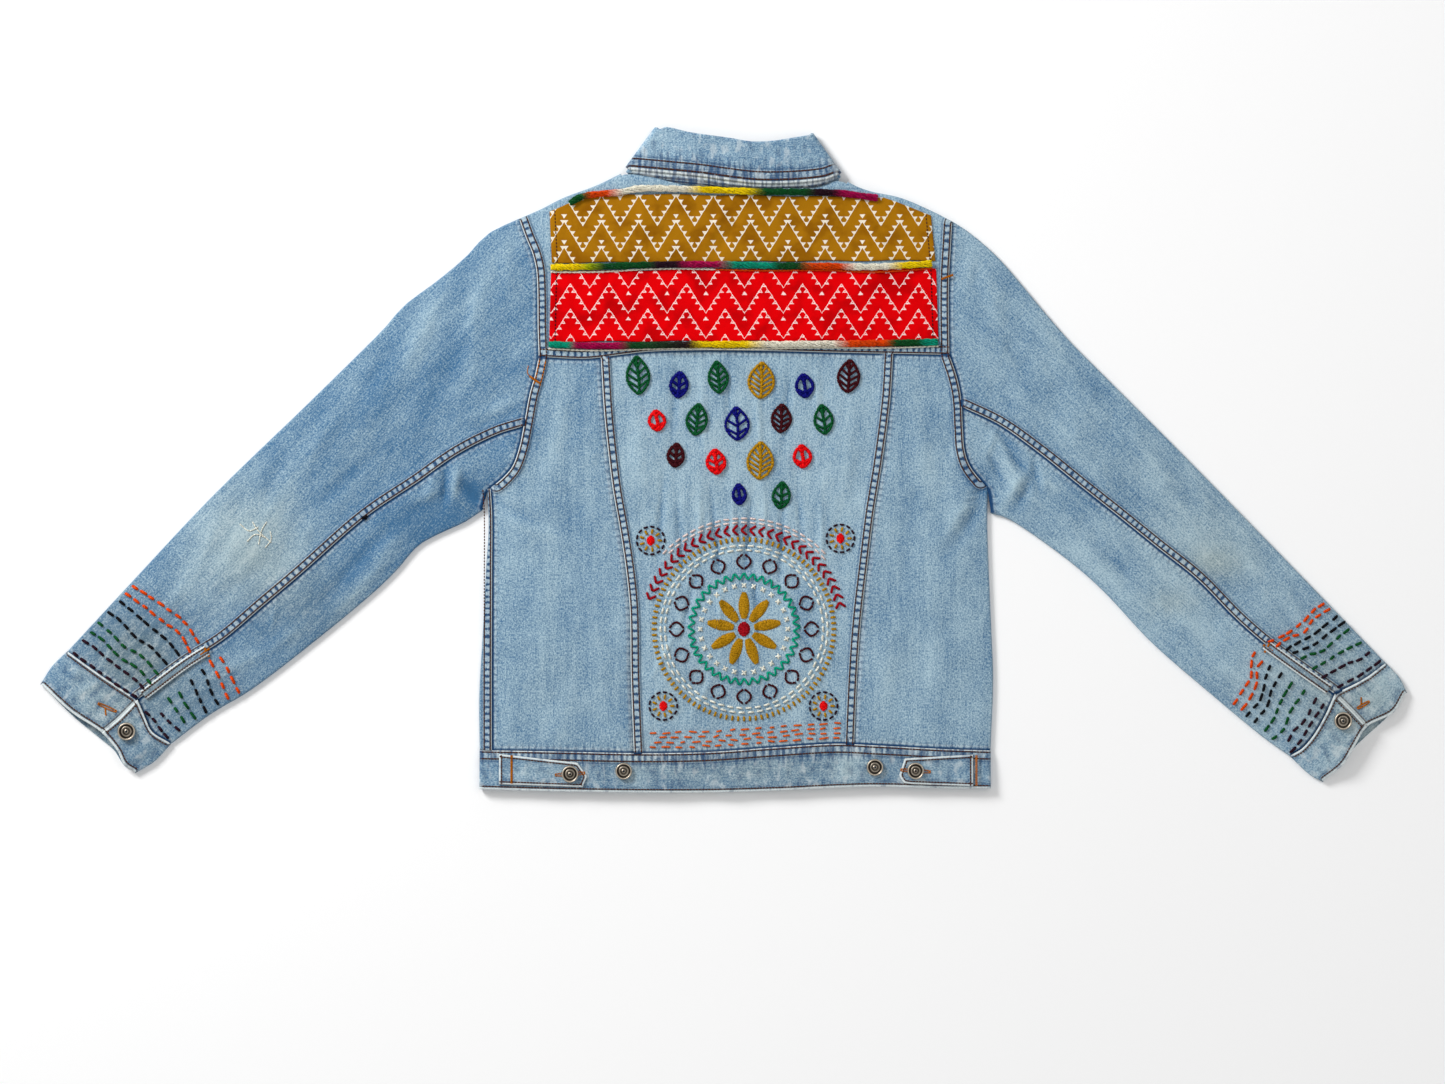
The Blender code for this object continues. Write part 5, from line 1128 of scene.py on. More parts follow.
def cuff(name, side, shared):
    # one strip: its buttonhole end on top, round the upper fold, beneath, round the lower fold, its button end
    seamLine = shared["cuffSeam"]
    elbowShare = lengthOf(shared["cuffSeamUpper"]) / lengthOf(seamLine)
    depth = 26
    upper, lower = resample(shared["cuffUpper"], even(depth)), resample(shared["cuffLower"], even(depth))

    def part(fractions, edgePoints):
        base = resample(seamLine, fractions)
        fullSeam = resample(seamLine, even(90))
        fullEdge = curve([upper[-1], *side[edgePoints], lower[-1]], along(fullSeam))
        plan = patchGrid(fullSeam, fullEdge, upper, lower)
        share = np.interp(fractions, even(90), np.arange(91))
        low = np.floor(share).astype(int).clip(0, 89)
        blend = (share - low)[None, :, None]
        return (1 - blend) * plan[:, low] + blend * plan[:, low + 1]

    holeEnd = part(np.linspace(elbowShare + 0.12, 0.0, 56), "cuffEdge")
    under = part(np.linspace(0.0, 1.0, 60), "cuffEdgeLower")
    buttonEnd = part(np.linspace(1.0, elbowShare, 36), "cuffEdge")
    extra = jacket["double"] - jacket["cloth"]
    rise = (jacket["double"] + jacket["lieGap"]) * smoothStep(np.arange(36.0), 0.0, 10.0)
    arcs = [foldArc(line, normalsOf(line, inner), upperTop(line) + extra, lowerBottom(line), 2.4)
            for line, inner in ((upper, holeEnd[:, -4]), (lower, buttonEnd[:, 4]))]
    first, last = [laid(end, upperTop(end) + extra + up) for end, up in ((holeEnd, 0.0), (buttonEnd, rise))]
    grid = np.concatenate([first, arcs[0], laid(under, lowerBottom(under)), arcs[1][:, ::-1], last], axis=1)
    tip = grid[-1] - grid[-2]
    tip[:, 2] = 0.0
    tip = unit(tip)
    sign = np.where(grid[-1, :, 2] > jacket["upperStart"], -1.0, 1.0)
    rolls = []
    for out, drop in ((0.35, 0.25), (0.6, 0.7), (0.65, 1.2)):
        row = grid[-1] + out * tip
        row[:, 2] += sign * drop
        rolls.append(row)
    grid = np.concatenate([grid, np.stack(rolls)], axis=0)
    outline = [coarse(seamLine, 30), coarse(holeEnd[-1], 30)]
    outline += [coarse(buttonEnd[-1], 20), coarse(buttonEnd[:, -1], 12)]
    clothPiece(f"cuff_{name}", [grid], (0.30, 0.06, 0.72), "band", rims=outline,
               wash=0.34 if name == "left" else 0.56, shell=jacket["foldedShell"],
               grain=side["sleeveGrain"] + 90, rests=[f"top_sleeve_{name}"])
    return {"holeEnd": holeEnd, "buttonEnd": buttonEnd, "rise": rise, "extra": extra}


def collarInside(plan):
    return upperInside(plan)[0] + rolling(plan, "collar")


def collar():
    # rows from the stand's seam up, round the roll and down the fall, columns from one front end to the other
    neck, roll, edge = [curve(acrossLines[key], even(130)) for key in ("collarNeck", "collarRoll", "collarEdge")]
    turn = np.linspace(0.0, math.pi, 9)[1:-1]
    standShares, fallShares = even(10), np.concatenate([even(20)[:-1], [0.97, 0.985, 1.0]])
    fallWeights = np.ones(len(fallShares))
    wall, rollRadius = jacket["collarWall"], 2.0

    def rows(neckLine, rollLine, edgeLine):
        up = unit(rollLine - neckLine)
        stand = [neckLine + share * (rollLine - neckLine) for share in standShares]
        arc = [rollLine + rollRadius * math.sin(angle) * up for angle in turn]
        fall = [rollLine + share * (edgeLine - rollLine) for share in fallShares]
        return np.array([*stand, *arc, *fall])

    weight = np.concatenate([np.zeros(len(standShares)), (1 - np.cos(turn)) / 2, fallWeights])[:, None]
    drop = np.concatenate([np.zeros(len(weight) - 3), [0.15, 0.6, 1.6]])[:, None]
    plan = rows(neck, roll, edge)
    high = collarInside(plan) + wall * weight + 0.05 - drop
    parts = {}
    for name, side in sides.items():
        under = rows(*[curve(side[key], even(44)) for key in ("standNeck", "standRoll", "fallEdge")])
        column = 0 if name == "left" else -1
        under[:, 0] = plan[:, column]
        low = wall * (1 - weight) + drop + 0 * under[..., 0]
        run = np.subtract(side["collarSide"][-1], side["collarSide"][0])
        outward = -side["inward"] * np.array([run[1], -run[0]]) / np.linalg.norm(run)
        fold = plan[:, column]
        outward = np.broadcast_to(outward, fold.shape)
        arc = foldArc(fold, outward, high[:, column], low[:, 0], 0.6 + wall * weight, 10)
        parts[name] = (laid(under, low), arc)
    (leftLow, leftArc), (rightLow, rightArc) = parts["left"], parts["right"]
    grid = np.concatenate([leftLow[:, ::-1], leftArc[:, ::-1], laid(plan, high), rightArc, rightLow], axis=1)
    ladder = edge + 2.3 * normalsOf(edge, (0.0, 0.0))
    clothPiece("collar", [grid], (0.50, 0.13, 0.74), "band", over=[coarse(ladder)], rims=[coarse(edge)],
               ridge=0.0, span=1.24, rimSpan=1.6, wash=0.46, shell=1.7, grain=0.0, rests=["back_yoke"])


def lyingPiece(name, plan, under, wall, cut, look, **rest):
    height = upperTop(plan) - jacket["cloth"] + under + jacket["lieGap"] + wall
    height = height - rounded(borderDistance(plan), wall)
    clothPiece(name, [laid(plan, height)], cut, look, shell=0.5, **rest)
    return plan


def patchPiece(name, look):
    leftLow, rightLow, rightHigh, topRight, topLeft, leftHigh = patches[name]
    across, up = graded(370.0, (3, 164, 3), (0.9, 0.9)), graded(62.0, (3, 30, 3), (0.9, 0.9))
    top = resample([leftHigh, topLeft, topRight, rightHigh], across)
    sideLeft, sideRight = curve([leftLow, leftHigh], up), curve([rightLow, rightHigh], up)
    plan = patchGrid(curve([leftLow, rightLow], across), top, sideLeft, sideRight)
    wobble = np.column_stack([np.zeros(plan[0].shape[0]), 0.5 * np.sin(plan[0, :, 0] / 11.0)])
    return lyingPiece(name, plan + wobble[None], jacket["cloth"], jacket["patch"], (0.37, 0.075, 0.9), look,
                      slot=look + "_print", rests=["back_yoke"])


def waistTab(name, side):
    baseLow, tipLow, tipLowEnd, tip, tipHigh, baseHigh = [np.array(point) for point in side["tab"]]
    length, width = np.linalg.norm(tip - baseLow), 30.0
    across, up = graded(length, (3, 44, 3), (0.9, 0.9)), graded(width, (3, 18, 3), (0.9, 0.9))
    outline = (([baseLow, tipLow, tipLowEnd], across), ([baseHigh, tipHigh], across),
               ([baseLow, baseHigh], up), ([tipLowEnd, tip, tipHigh], up))
    plan = patchGrid(*[resample(corners, steps) for corners, steps in outline])
    border = np.vstack([plan[0], plan[1:, -1], plan[-1, -2::-1], plan[-2::-1, 0]])
    lyingPiece(f"waist_tab_{name}", plan, jacket["double"], jacket["double"], (0.085, 0.032, 0.9), "band",
               wash=0.46, grain=0.0, rims=[coarse(border)], rests=["waistband"])
    return border


def placket(name, side, shared):
    middle = resample(shared["elbow"], np.linspace(0.82, 0.985, 60))
    sideways = normalsOf(middle, (0.0, 400.0))
    across = np.concatenate([[-1.0, -0.97, -0.9], np.linspace(-0.8, 0.8, 9), [0.9, 0.97, 1.0]]) * 5.0
    plan = middle[:, None] + across[None, :, None] * sideways[:, None]
    return lyingPiece(f"sleeve_placket_{name}", plan, jacket["cloth"] + seam["ridge"], jacket["cloth"],
                      (0.08, 0.013, 0.9), "denim", wash=0.50, grain=side["sleeveGrain"],
                      rims=[coarse(plan[:, 0], 30), coarse(plan[:, -1], 30)], rests=[f"top_sleeve_{name}"])


for sideName, sideTable in sides.items():
    sleeve(sideName, sideTable, lines[sideName])
print("sleeves made")
backPanels()
yoke()
print("back made")
fronts()
frontBands()
print("fronts made")
waistband()
collar()
cuffParts = {name: cuff(name, side, lines[name]) for name, side in sides.items()}
tabBorders = {name: waistTab(name, side) for name, side in sides.items()}
placketPlans = {name: placket(name, side, lines[name]) for name, side in sides.items()}
patchPlans = {look: patchPiece("patch_" + look, look) for look in ("mustard", "red")}
print("bands, collar, cuffs, tabs and patches made")

# Sewing: each stitch is a short rounded rod laid on the cloth

topstitch = {
    "pitch": 2.9, "share": 0.78, "radius": 0.55,
    "ends": (0.4, 1.0, 1.0, 1.0, 0.4), "places": (0.0, 0.16, 0.5, 0.84, 1.0),
}
felled = {}  # each felled seam: its line, and a point on the side away from its ridge
for sideName, sideTable in sides.items():
    shared, away = lines[sideName], -sideTable["inward"]
    armhole = np.vstack([shared["armYoke"], shared["armUpper"][1:], shared["armLower"][1:]])
    felled[f"princess {sideName}"] = (coarse(shared["princess"]), (away * 700.0, 250.0))
    felled[f"armhole {sideName}"] = (coarse(armhole, 80), (away * 700.0, 250.0))
    felled[f"elbow {sideName}"] = (coarse(shared["elbow"]), (away * 250.0, -100.0))
felled["yoke"] = (yokeLine, (0.0, 0.0))
felled["side"] = (coarse(lines["left"]["sideSeam"], 50), (0.0, 150.0))
ridges = [(line, line + 4.0 * normalsOf(line, away)) for line, away in felled.values()]


def onCloth(plan, lift=0.0):  # the height of the cloth's face, ridges and puckers with it
    relief = np.zeros(plan.shape[:-1])
    for line, middle in ridges:
        away, run = lineField(plan, line)
        onRidge = lineField(plan, middle)[0] < 4.8
        relief = np.where(onRidge, np.maximum(relief, seamRelief(away, run)), relief)
    return upperTop(plan) + relief + lift


def onBand(plan):
    return upperTop(plan) + jacket["double"] - jacket["cloth"] + 0.5 * seam["rope"]


def onTab(plan):
    return upperTop(plan) - jacket["cloth"] + 2 * jacket["double"] + jacket["lieGap"]


def onCollar(plan):
    return collarInside(plan) + jacket["collarWall"] + 0.15


def onPatch(plan):
    return upperTop(plan) + jacket["patch"] + jacket["lieGap"]


def tubes(paths, radii, sides, flat=1.0):
    # a closed tube along each path: rings square to its direction, sized by the radii, capped at both ends
    run = unit(np.gradient(paths, axis=1))
    sideways = unit(np.cross([0.0, 0.0, 1.0], run))
    up = np.cross(run, sideways) * flat
    turn = (np.arange(sides) * 2 * math.pi / sides)[:, None]
    ring = np.cos(turn) * sideways[:, :, None] + np.sin(turn) * up[:, :, None]
    points = paths[:, :, None] + np.broadcast_to(radii, paths.shape[:2])[..., None, None] * ring
    index = np.arange(points.size // 3).reshape(points.shape[:3])
    after = np.roll(index, -1, axis=2)
    walls = np.stack([index[:, :-1], after[:, :-1], after[:, 1:], index[:, 1:]], axis=-1).reshape(-1, 4)
    caps = np.concatenate([index[:, 0, ::-1], index[:, -1]])
    return points.reshape(-1, 3), walls.tolist() + caps.tolist()


def cutUp(line, pitch, share, seed=None, wander=0.0):  # the two ends of every stitch along a line
    count = max(1, round(lengthOf(line) / pitch))
    first = (np.arange(count) + (1 - share) / 2) / count
    last = first + share / count
    if seed is not None:
        random = np.random.default_rng(seed)
        first = first + random.uniform(-0.1, 0.08, count) / count
        last = last + random.uniform(-0.08, 0.1, count) / count
    starts, ends = resample(line, np.clip(first, 0, 1)), resample(line, np.clip(last, 0, 1))
    if wander:
        starts = starts + random.normal(0.0, wander, starts.shape)
        ends = ends + random.normal(0.0, wander, ends.shape)
    return starts, ends


sewn = {}  # every stitch's path and radii, by the colour of its thread


def sew(colour, starts, ends, radius, heightAt=onCloth, sunk=0.35):
    # a stitch rises from the cloth at its first end, lies on it and goes back in at the other
    starts, ends = np.atleast_2d(starts), np.atleast_2d(ends)
    places, sizes = np.array(topstitch["places"]), np.array(topstitch["ends"])
    paths = starts[:, None] + places[None, :, None] * (ends - starts)[:, None]
    if paths.shape[2] == 2:
        paths = laid(paths, heightAt(paths))
    paths[..., 2] += radius * (np.where(sizes < 1, -0.3, 1.0) - sunk)
    radii = np.broadcast_to(radius * sizes, paths.shape[:2])
    sewn.setdefault(colour, []).append((paths, radii))


def copperRow(line, heightAt=onCloth):
    sew("copper", *cutUp(line, topstitch["pitch"], topstitch["share"]), topstitch["radius"], heightAt)


def topstitched(line, offset, awayFrom, span, heightAt=onCloth):  # a row beside a line
    moved = resample(line, np.linspace(*span, 300))
    copperRow(moved + offset * normalsOf(moved, awayFrom), heightAt)


stitchEnds = {"armhole": 0.97, "elbow": 0.815}
for seamName, (line, away) in felled.items():
    for offset in seam["stitches"]:
        topstitched(line, offset, away, (0.0, stitchEnds.get(seamName.split()[0], 1.0)))
for offset in (1.64, 7.96):
    topstitched(waistLine, offset, (0.0, 400.0), (0.004, 0.996), onBand)
topstitched(hemLine, seam["rimStitch"], (0.0, -400.0), (0.004, 0.996), onBand)
for border in tabBorders.values():
    topstitched(border, -seam["rimStitch"], border.mean(axis=0), (0.0, 1.0), onTab)
for plan in placketPlans.values():
    for column in (4, -5):
        line = plan[:, column]
        copperRow(laid(line, upperTop(line) + seam["ridge"] + jacket["lieGap"] + jacket["cloth"]))
for offset in (4.2, 11.4):
    topstitched(curve(acrossLines["collarEdge"], even(200)), offset, (0.0, 0.0), (0.01, 0.99), onCollar)
for cuffPart in cuffParts.values():
    for key in ("holeEnd", "buttonEnd"):
        plan = cuffPart[key]
        rise = cuffPart["rise"] if key == "buttonEnd" else 0.0
        space = laid(plan, upperTop(plan) + cuffPart["extra"] + rise + 0.12)
        for row in (2, -3):
            copperRow(space[row])
    copperRow(space[2:-2, -3])
for look, plan in patchPlans.items():
    colour = "copper" if look == "mustard" else "maroon"
    for column in (5, -6):
        sew(colour, *cutUp(laid(plan[2:-2, column], onPatch(plan[2:-2, column])), 3.4, 0.7), 0.5)


def axes(direction):  # unit steps along a direction, in degrees, and to its left
    angle = math.radians(direction)
    return np.array([math.cos(angle), math.sin(angle)]), np.array([-math.sin(angle), math.cos(angle)])


def barTack(centre, direction, length, count, wide, heightAt):
    # a bar tack: short stitches side by side, each square to the bar's direction
    run, side = axes(direction)
    middles = centre + np.linspace(-0.5, 0.5, count)[:, None] * length * run
    sew("tack", middles - wide / 2 * side, middles + wide / 2 * side, 0.42, heightAt, 0.1)


def buttonhole(centre, direction, length, heightAt, wide):
    # stitches set outwards all round a slot: two straight sides and a round at both ends
    run, side = axes(direction)
    turn = np.linspace(0, 2 * math.pi, 64, endpoint=False)
    slot = np.clip(length * np.cos(turn) / 1.6, -length / 2, length / 2)
    inner = centre + slot[:, None] * run + 0.4 * np.sin(turn)[:, None] * side
    flatter = np.clip(np.cos(turn) * 1.2, -1, 1)
    outer = inner + wide * (flatter[:, None] * 0.4 * run + np.sin(turn)[:, None] * side)
    sew("tack", inner, outer, 0.42, heightAt, 0.0)


barTacks = (  # x, y, direction, length: at the armholes, and an upright and a crossbar at each sleeve opening
    (-190, 389.5, -34, 11), (201.4, 487, 20, 11), (-502.6, 131.5, 35, 10), (-501, 131, 118, 9),
    (505.4, 134.9, -35, 10), (504.4, 134.9, -118, 9),
)
for x, y, direction, length in barTacks:
    barTack((x, y), direction, length, 14, 2.2, lambda plan: onCloth(plan, 1.6))
for offset in seam["stitches"]:  # the armhole's own stitches change colour above its bar tack
    row = lines["left"]["armUpper"][5:48]
    sew("tack", *cutUp(row + offset * normalsOf(row, (-700.0, 250.0)), 2.9, 0.8), 0.66)
sew("tack", *cutUp(curve([(-193.0, 391.0), (-197.0, 396.0), (-196.0, 403.0)], even(20)), 2.0, 1.1), 0.4)
for x, low, high in ((-211.9, 7.0, 33.0), (229.0, 5.0, 33.0)):
    barTack((x, (low + high) / 2), 90.0, high - low, 30, 2.4, onTab)
cuffHoles = {"left": (-595.5, 78.6, -24.0, 18.0), "right": (596.0, 81.0, 30.0, 12.0)}
for sideName, sideTable in sides.items():
    inward = sideTable["inward"]
    buttonhole(sideTable["tabButton"], 4.0 * inward, 27.0, onTab, 1.9)
    x, y, direction, length = cuffHoles[sideName]
    buttonhole((x, y), direction, length, onBand, 1.5)
    leg = (x, y) + 4.0 * axes(direction - 90.0 * inward)[0]
    barTack(leg, direction - 60.0 * inward, 7.0, 9, 1.6, onBand)
scratches = (  # worn threads on the left sleeve and a dark speck at its seam: colour, points, radius
    ("white", [(-470, 253), (-461, 246), (-452, 250)], 0.55),
    ("white", [(-463, 236), (-455, 243), (-446, 240)], 0.6),
    ("white", [(-452, 233), (-449, 247), (-444, 255)], 0.5),
    ("white", [(-446, 230), (-440, 238), (-441, 246)], 0.5),
    ("white", [(-458, 255), (-452, 246), (-440, 235)], 0.6),
    ("black", [(-354, 257.4), (-351, 259.6), (-348.5, 260)], 1.2),
    ("black", [(-353.4, 259.8), (-349.6, 257)], 1),
)
for colour, points, radius in scratches:
    sew(colour, *cutUp(curve(points, even(30)), 3.0, 1.1), radius)
print("topstitching laid")

# Hand stitching

runningThreads = ("orange", "black", "green", "plum")
runningRows = (  # the points each row goes through, four rows to a thread, left sleeve and then right
    [(-574, 195), (-544, 176), (-522, 159), (-508, 138)], [(-490, 128), (-483, 118), (-470, 90)],
    [(-580, 188), (-559, 173), (-541, 159), (-527, 149), (-516, 129)], [(-499, 124), (-491, 110), (-480, 84)],
    [(-586, 181), (-572, 170), (-551, 152), (-538, 142), (-526, 126)],
    [(-508, 116), (-503, 111), (-497, 93), (-489, 79)],
    [(-597, 170), (-585, 162), (-565, 142), (-556, 138), (-538, 118)], [(-517, 107), (-508, 87), (-501, 72)],
    [(-606, 160), (-592, 149), (-580, 137), (-562, 127), (-546, 108)], [(-529, 96), (-523, 84), (-511, 66)],
    [(-614, 152), (-598, 141), (-586, 128), (-566, 115), (-553, 100)], [(-539, 89), (-530, 76), (-522, 63)],
    [(-621, 143), (-610, 137), (-596, 125), (-569, 105), (-559, 95)], [(-547, 75), (-536, 64), (-526, 56)],
    [(-630, 132), (-611, 118), (-592, 104), (-566, 87)], [(-561, 76), (-551, 66), (-545, 57), (-536, 48)],
    [(561, 178), (550, 172), (538, 159), (523, 148), (504, 140)],
    [(494, 134), (489, 121), (490, 109), (478, 89), (472, 80)],
    [(566, 173), (547, 161), (541, 150), (523, 144), (512, 135)],
    [(502, 124), (495, 116), (495, 104), (490, 89), (480, 75)],
    [(573, 167), (554, 152), (544, 145), (526, 136), (521, 131)],
    [(509, 121), (503, 107), (499, 87), (484, 69)],
    [(580, 161), (560, 147), (554, 141), (544, 136), (527, 129)],
    [(520, 113), (508, 94), (506, 81), (491, 63)],
    [(584, 154), (566, 140), (557, 131), (547, 130), (535, 124)],
    [(529, 104), (517, 83), (512, 69), (502, 55)], [(596, 141), (574, 131), (564, 124), (546, 114)],
    [(542, 97), (526, 73), (521, 58), (508, 47)], [(604, 133), (593, 124), (580, 120), (555, 106)],
    [(552, 89), (540, 66), (530, 56), (523, 44)], [(614, 124), (597, 112), (589, 107), (570, 97)],
    [(560, 84), (544, 60), (537, 47), (526, 35)],
)
for number, points in enumerate(runningRows):
    stitches = cutUp(curve(points, even(60)), 10.2, 0.7, seed=number, wander=0.25)
    sew(runningThreads[number // 4 % 4], *stitches, 1.5)


leafShape = {"thread": 1.5, "stitch": 3.8, "slant": 0.2}


def backstitched(colour, line, radius, seed):  # stitches end to end
    sew(colour, *cutUp(line, leafShape["stitch"], 1.08, seed=seed, wander=0.12), radius)


def leaf(x, y, width, height, tilt, colour, veins, seed):
    # an outline pointed at both ends, a midrib, and veins that slant up from it
    share = even(30)
    half = width / 2 * np.sin(math.pi * share**0.88) ** 0.85
    thick = leafShape["thread"] * (1.2 if height < 25 else 1.0)
    turned = np.array(axes(tilt))

    def placed(sideways, up):
        return np.column_stack([sideways, (up - 0.5) * height]) @ turned + (x, y)

    for way in (-1, 1):
        backstitched(colour, placed(way * half, share), thick, seed)
    backstitched(colour, placed(0.03 * width * np.sin(share * 5), share), thick * 1.1, seed + 1)
    roots = np.linspace(0.16, 0.68, veins)
    tips = np.minimum(roots + leafShape["slant"], 0.95)
    reach = np.interp(tips, share, half)
    for way in (-1, 1):
        sew(colour, placed(0 * roots, roots), placed(way * reach * 0.92, tips), thick * 0.9)


leaves = (  # x, y, width, height, tilt, thread, pairs of veins, in rows that narrow downwards
    (-92, 394, 21, 36, 4, "leaf", 4), (-53, 385, 16, 24, -6, "navy", 3), (-16, 392, 18, 30, 5, "leaf", 4),
    (25, 389, 24, 34, -3, "gold", 5), (66, 384, 16, 22, 6, "navy", 2), (108, 393, 20, 31, -5, "maroon", 4),
    (-74, 351, 15, 19, 8, "red", 2), (-36, 352, 19, 30, -8, "leaf", 4), (2, 348, 22, 31, 3, "navy", 3),
    (44, 353, 18, 27, -4, "maroon", 4), (84, 352, 17, 28, 7, "leaf", 3),
    (-56, 318, 15, 22, -5, "maroon", 3), (-18, 312, 17, 23, 6, "red", 3), (24, 313, 24, 35, -3, "gold", 5),
    (64, 317, 16, 21, 5, "red", 2), (4, 281, 12, 19, 4, "navy", 2), (44, 280, 16, 25, -6, "leaf", 3),
)
for number, (x, y, width, height, tilt, colour, veins) in enumerate(leaves):
    leaf(x, y, width, height, tilt, colour, veins, 40 + number)

rosette = {
    "centre": (8.5, 153.0), "margin": 12.5, "foot": 62.0, "thread": 1.35,
    "corners": ((-68.0, 80.0), (84.0, 80.0), (-80.0, 237.0), (100.0, 239.0)),
}
princessLines = [curve(side["princess"], even(200)) for side in sides.values()]


def inPanel(points):  # whether each point is on the centre panel, clear of its seams
    left, right = [atHeight(line[::-1], points[:, 1])[:, 0] for line in princessLines]
    clear = (points[:, 0] > left + rosette["margin"]) & (points[:, 0] < right - rosette["margin"])
    return clear & (points[:, 1] > rosette["foot"])


def ringStitches(colour, radius, angle, towards, length, thread, seed, centre=rosette["centre"]):
    # stitches round the centre, each at its radius and angle and turned from the outward direction by towards
    random = np.random.default_rng(seed)
    angle, towards = np.radians(angle), np.radians(towards)
    radius, angle, towards = np.broadcast_arrays(np.asarray(radius, float), angle, towards)
    facing = angle + towards + random.normal(0.0, 0.05, angle.shape)
    middle = centre + radius[:, None] * np.column_stack([np.cos(angle), np.sin(angle)])
    half = np.asarray(length)[..., None] / 2 * np.column_stack([np.cos(facing), np.sin(facing)])
    starts, ends = middle - half, middle + half
    kept = inPanel(starts) & inPanel(ends)
    satin = thread < 0.76 and colour == "gold"
    sew(colour, starts[kept], ends[kept], thread * (1.0 if satin else rosette["thread"]))


def anglesRound(radius, spacing, offset=0.0, first=0.0, last=360.0):
    # angles, in degrees, a whole number of even steps from first to last
    count = max(3, round(math.radians(last - first) * radius / spacing))
    return first + (np.arange(count) + offset) * (last - first) / count


def satinDot(colour, size, seed, centre):  # level stitches side by side that fill a round
    across = np.linspace(-0.94, 0.94, max(5, int(size / 0.55))) * size
    length = 2 * np.sqrt(size**2 - across**2)
    ringStitches(colour, np.abs(across), np.where(across < 0, 270.0, 90.0), 90.0, length, 0.75, seed, centre)


satinDot("crimson", 6.5, 1, rosette["centre"])
for number, petal in enumerate(np.arange(9) * 40.0 + 10.0):  # satin petals in gold
    share = even(24)
    half = 5.8 * np.sin(math.pi * (0.12 + 0.8 * share)) ** 0.7
    ringStitches("gold", 10.5 + 24.0 * share, petal, 90.0, 2 * half, 0.75, number)
for way in (-45.0, 45.0):
    ringStitches("white", 41.5, anglesRound(41.5, 9.4), way, 6.0, 0.7, 11)
for way in (-1, 1):  # a zigzag ring
    ringStitches("teal", 50.0, anglesRound(50.0, 8.6, 0.25 * (1 - way)), way * 30.0, 8.6, 0.85, 33 + way)
for number, petal in enumerate(np.arange(16) * 22.5):  # open petals
    share = even(6)[:-1] + 1 / 12
    for way in (-1, 1):
        reach = 6.4 * np.sin(math.pi * share) ** 0.8 / 64.0
        slope = np.degrees(np.arctan2(6.4 * np.cos(math.pi * share) * math.pi, 16.0)) * way
        edge = petal + way * np.degrees(reach)
        ringStitches("maroon", 57.0 + 14.0 * share, edge, slope, 3.3, 0.85, 20 + number)
for row, radius in enumerate((75.0, 79.2)):
    ringStitches("white", radius, anglesRound(radius, 8.8, 0.5 * row), 90.0, 6.2, 0.8, 30 + row)
ringStitches("gold", 85.2, anglesRound(85.2, 5.6), 0.0, 5.0, 0.9, 80)
for way in (-1, 1):  # arrowheads over the upper half
    angles = anglesRound(94.0, 8.4, 0.0, 14.0, 166.0)
    ringStitches("crimson", 94.0 + way * 2.4, angles, 90.0 + way * 40.0, 7.8, 1.0, 90 + way)
for row, radius in enumerate((101.2, 105.0)):
    ringStitches("pink", radius, anglesRound(radius, 8.4, 0.5 * row, 42.0, 138.0), 90.0, 6.0, 0.75, 94 + row)
for number, corner in enumerate(rosette["corners"]):  # a small round flower in each corner
    satinDot("red", 4.2, 50 + number, corner)
    ringStitches("gold", 8.6, anglesRound(8.6, 6.0), 0.0, 4.6, 0.9, 60 + number, corner)
    ringStitches("plum", 13.2, anglesRound(13.2, 6.4), 90.0, 4.4, 0.8, 70 + number, corner)
for number, above in enumerate((5.6, 10.0, 14.6, 19.4)):  # plain rows along the waist
    x = np.linspace(-84.0 + 4.1 * (number % 3), 103.0, 60)
    row = np.column_stack([x, np.interp(x, waistLine[:, 0], waistLine[:, 1]) + above])
    sew("rust", *cutUp(row, 12.6, 0.56, seed=120 + number, wander=0.5), 0.95)

for colour, parts in sewn.items():
    paths = np.concatenate([part[0] for part in parts])
    radii = np.concatenate([part[1] for part in parts])
    name = "topstitching" if colour == "copper" else "needlework_" + colour
    points, faces = tubes(paths, radii, 4 if colour in ("copper", "tack") else 5, 0.8)
    shown(name, meshOf(name, points, faces), thread(colour + "Thread", threads[colour]))
    print(f"{name}: {len(paths)} stitches")


# Yarn trims

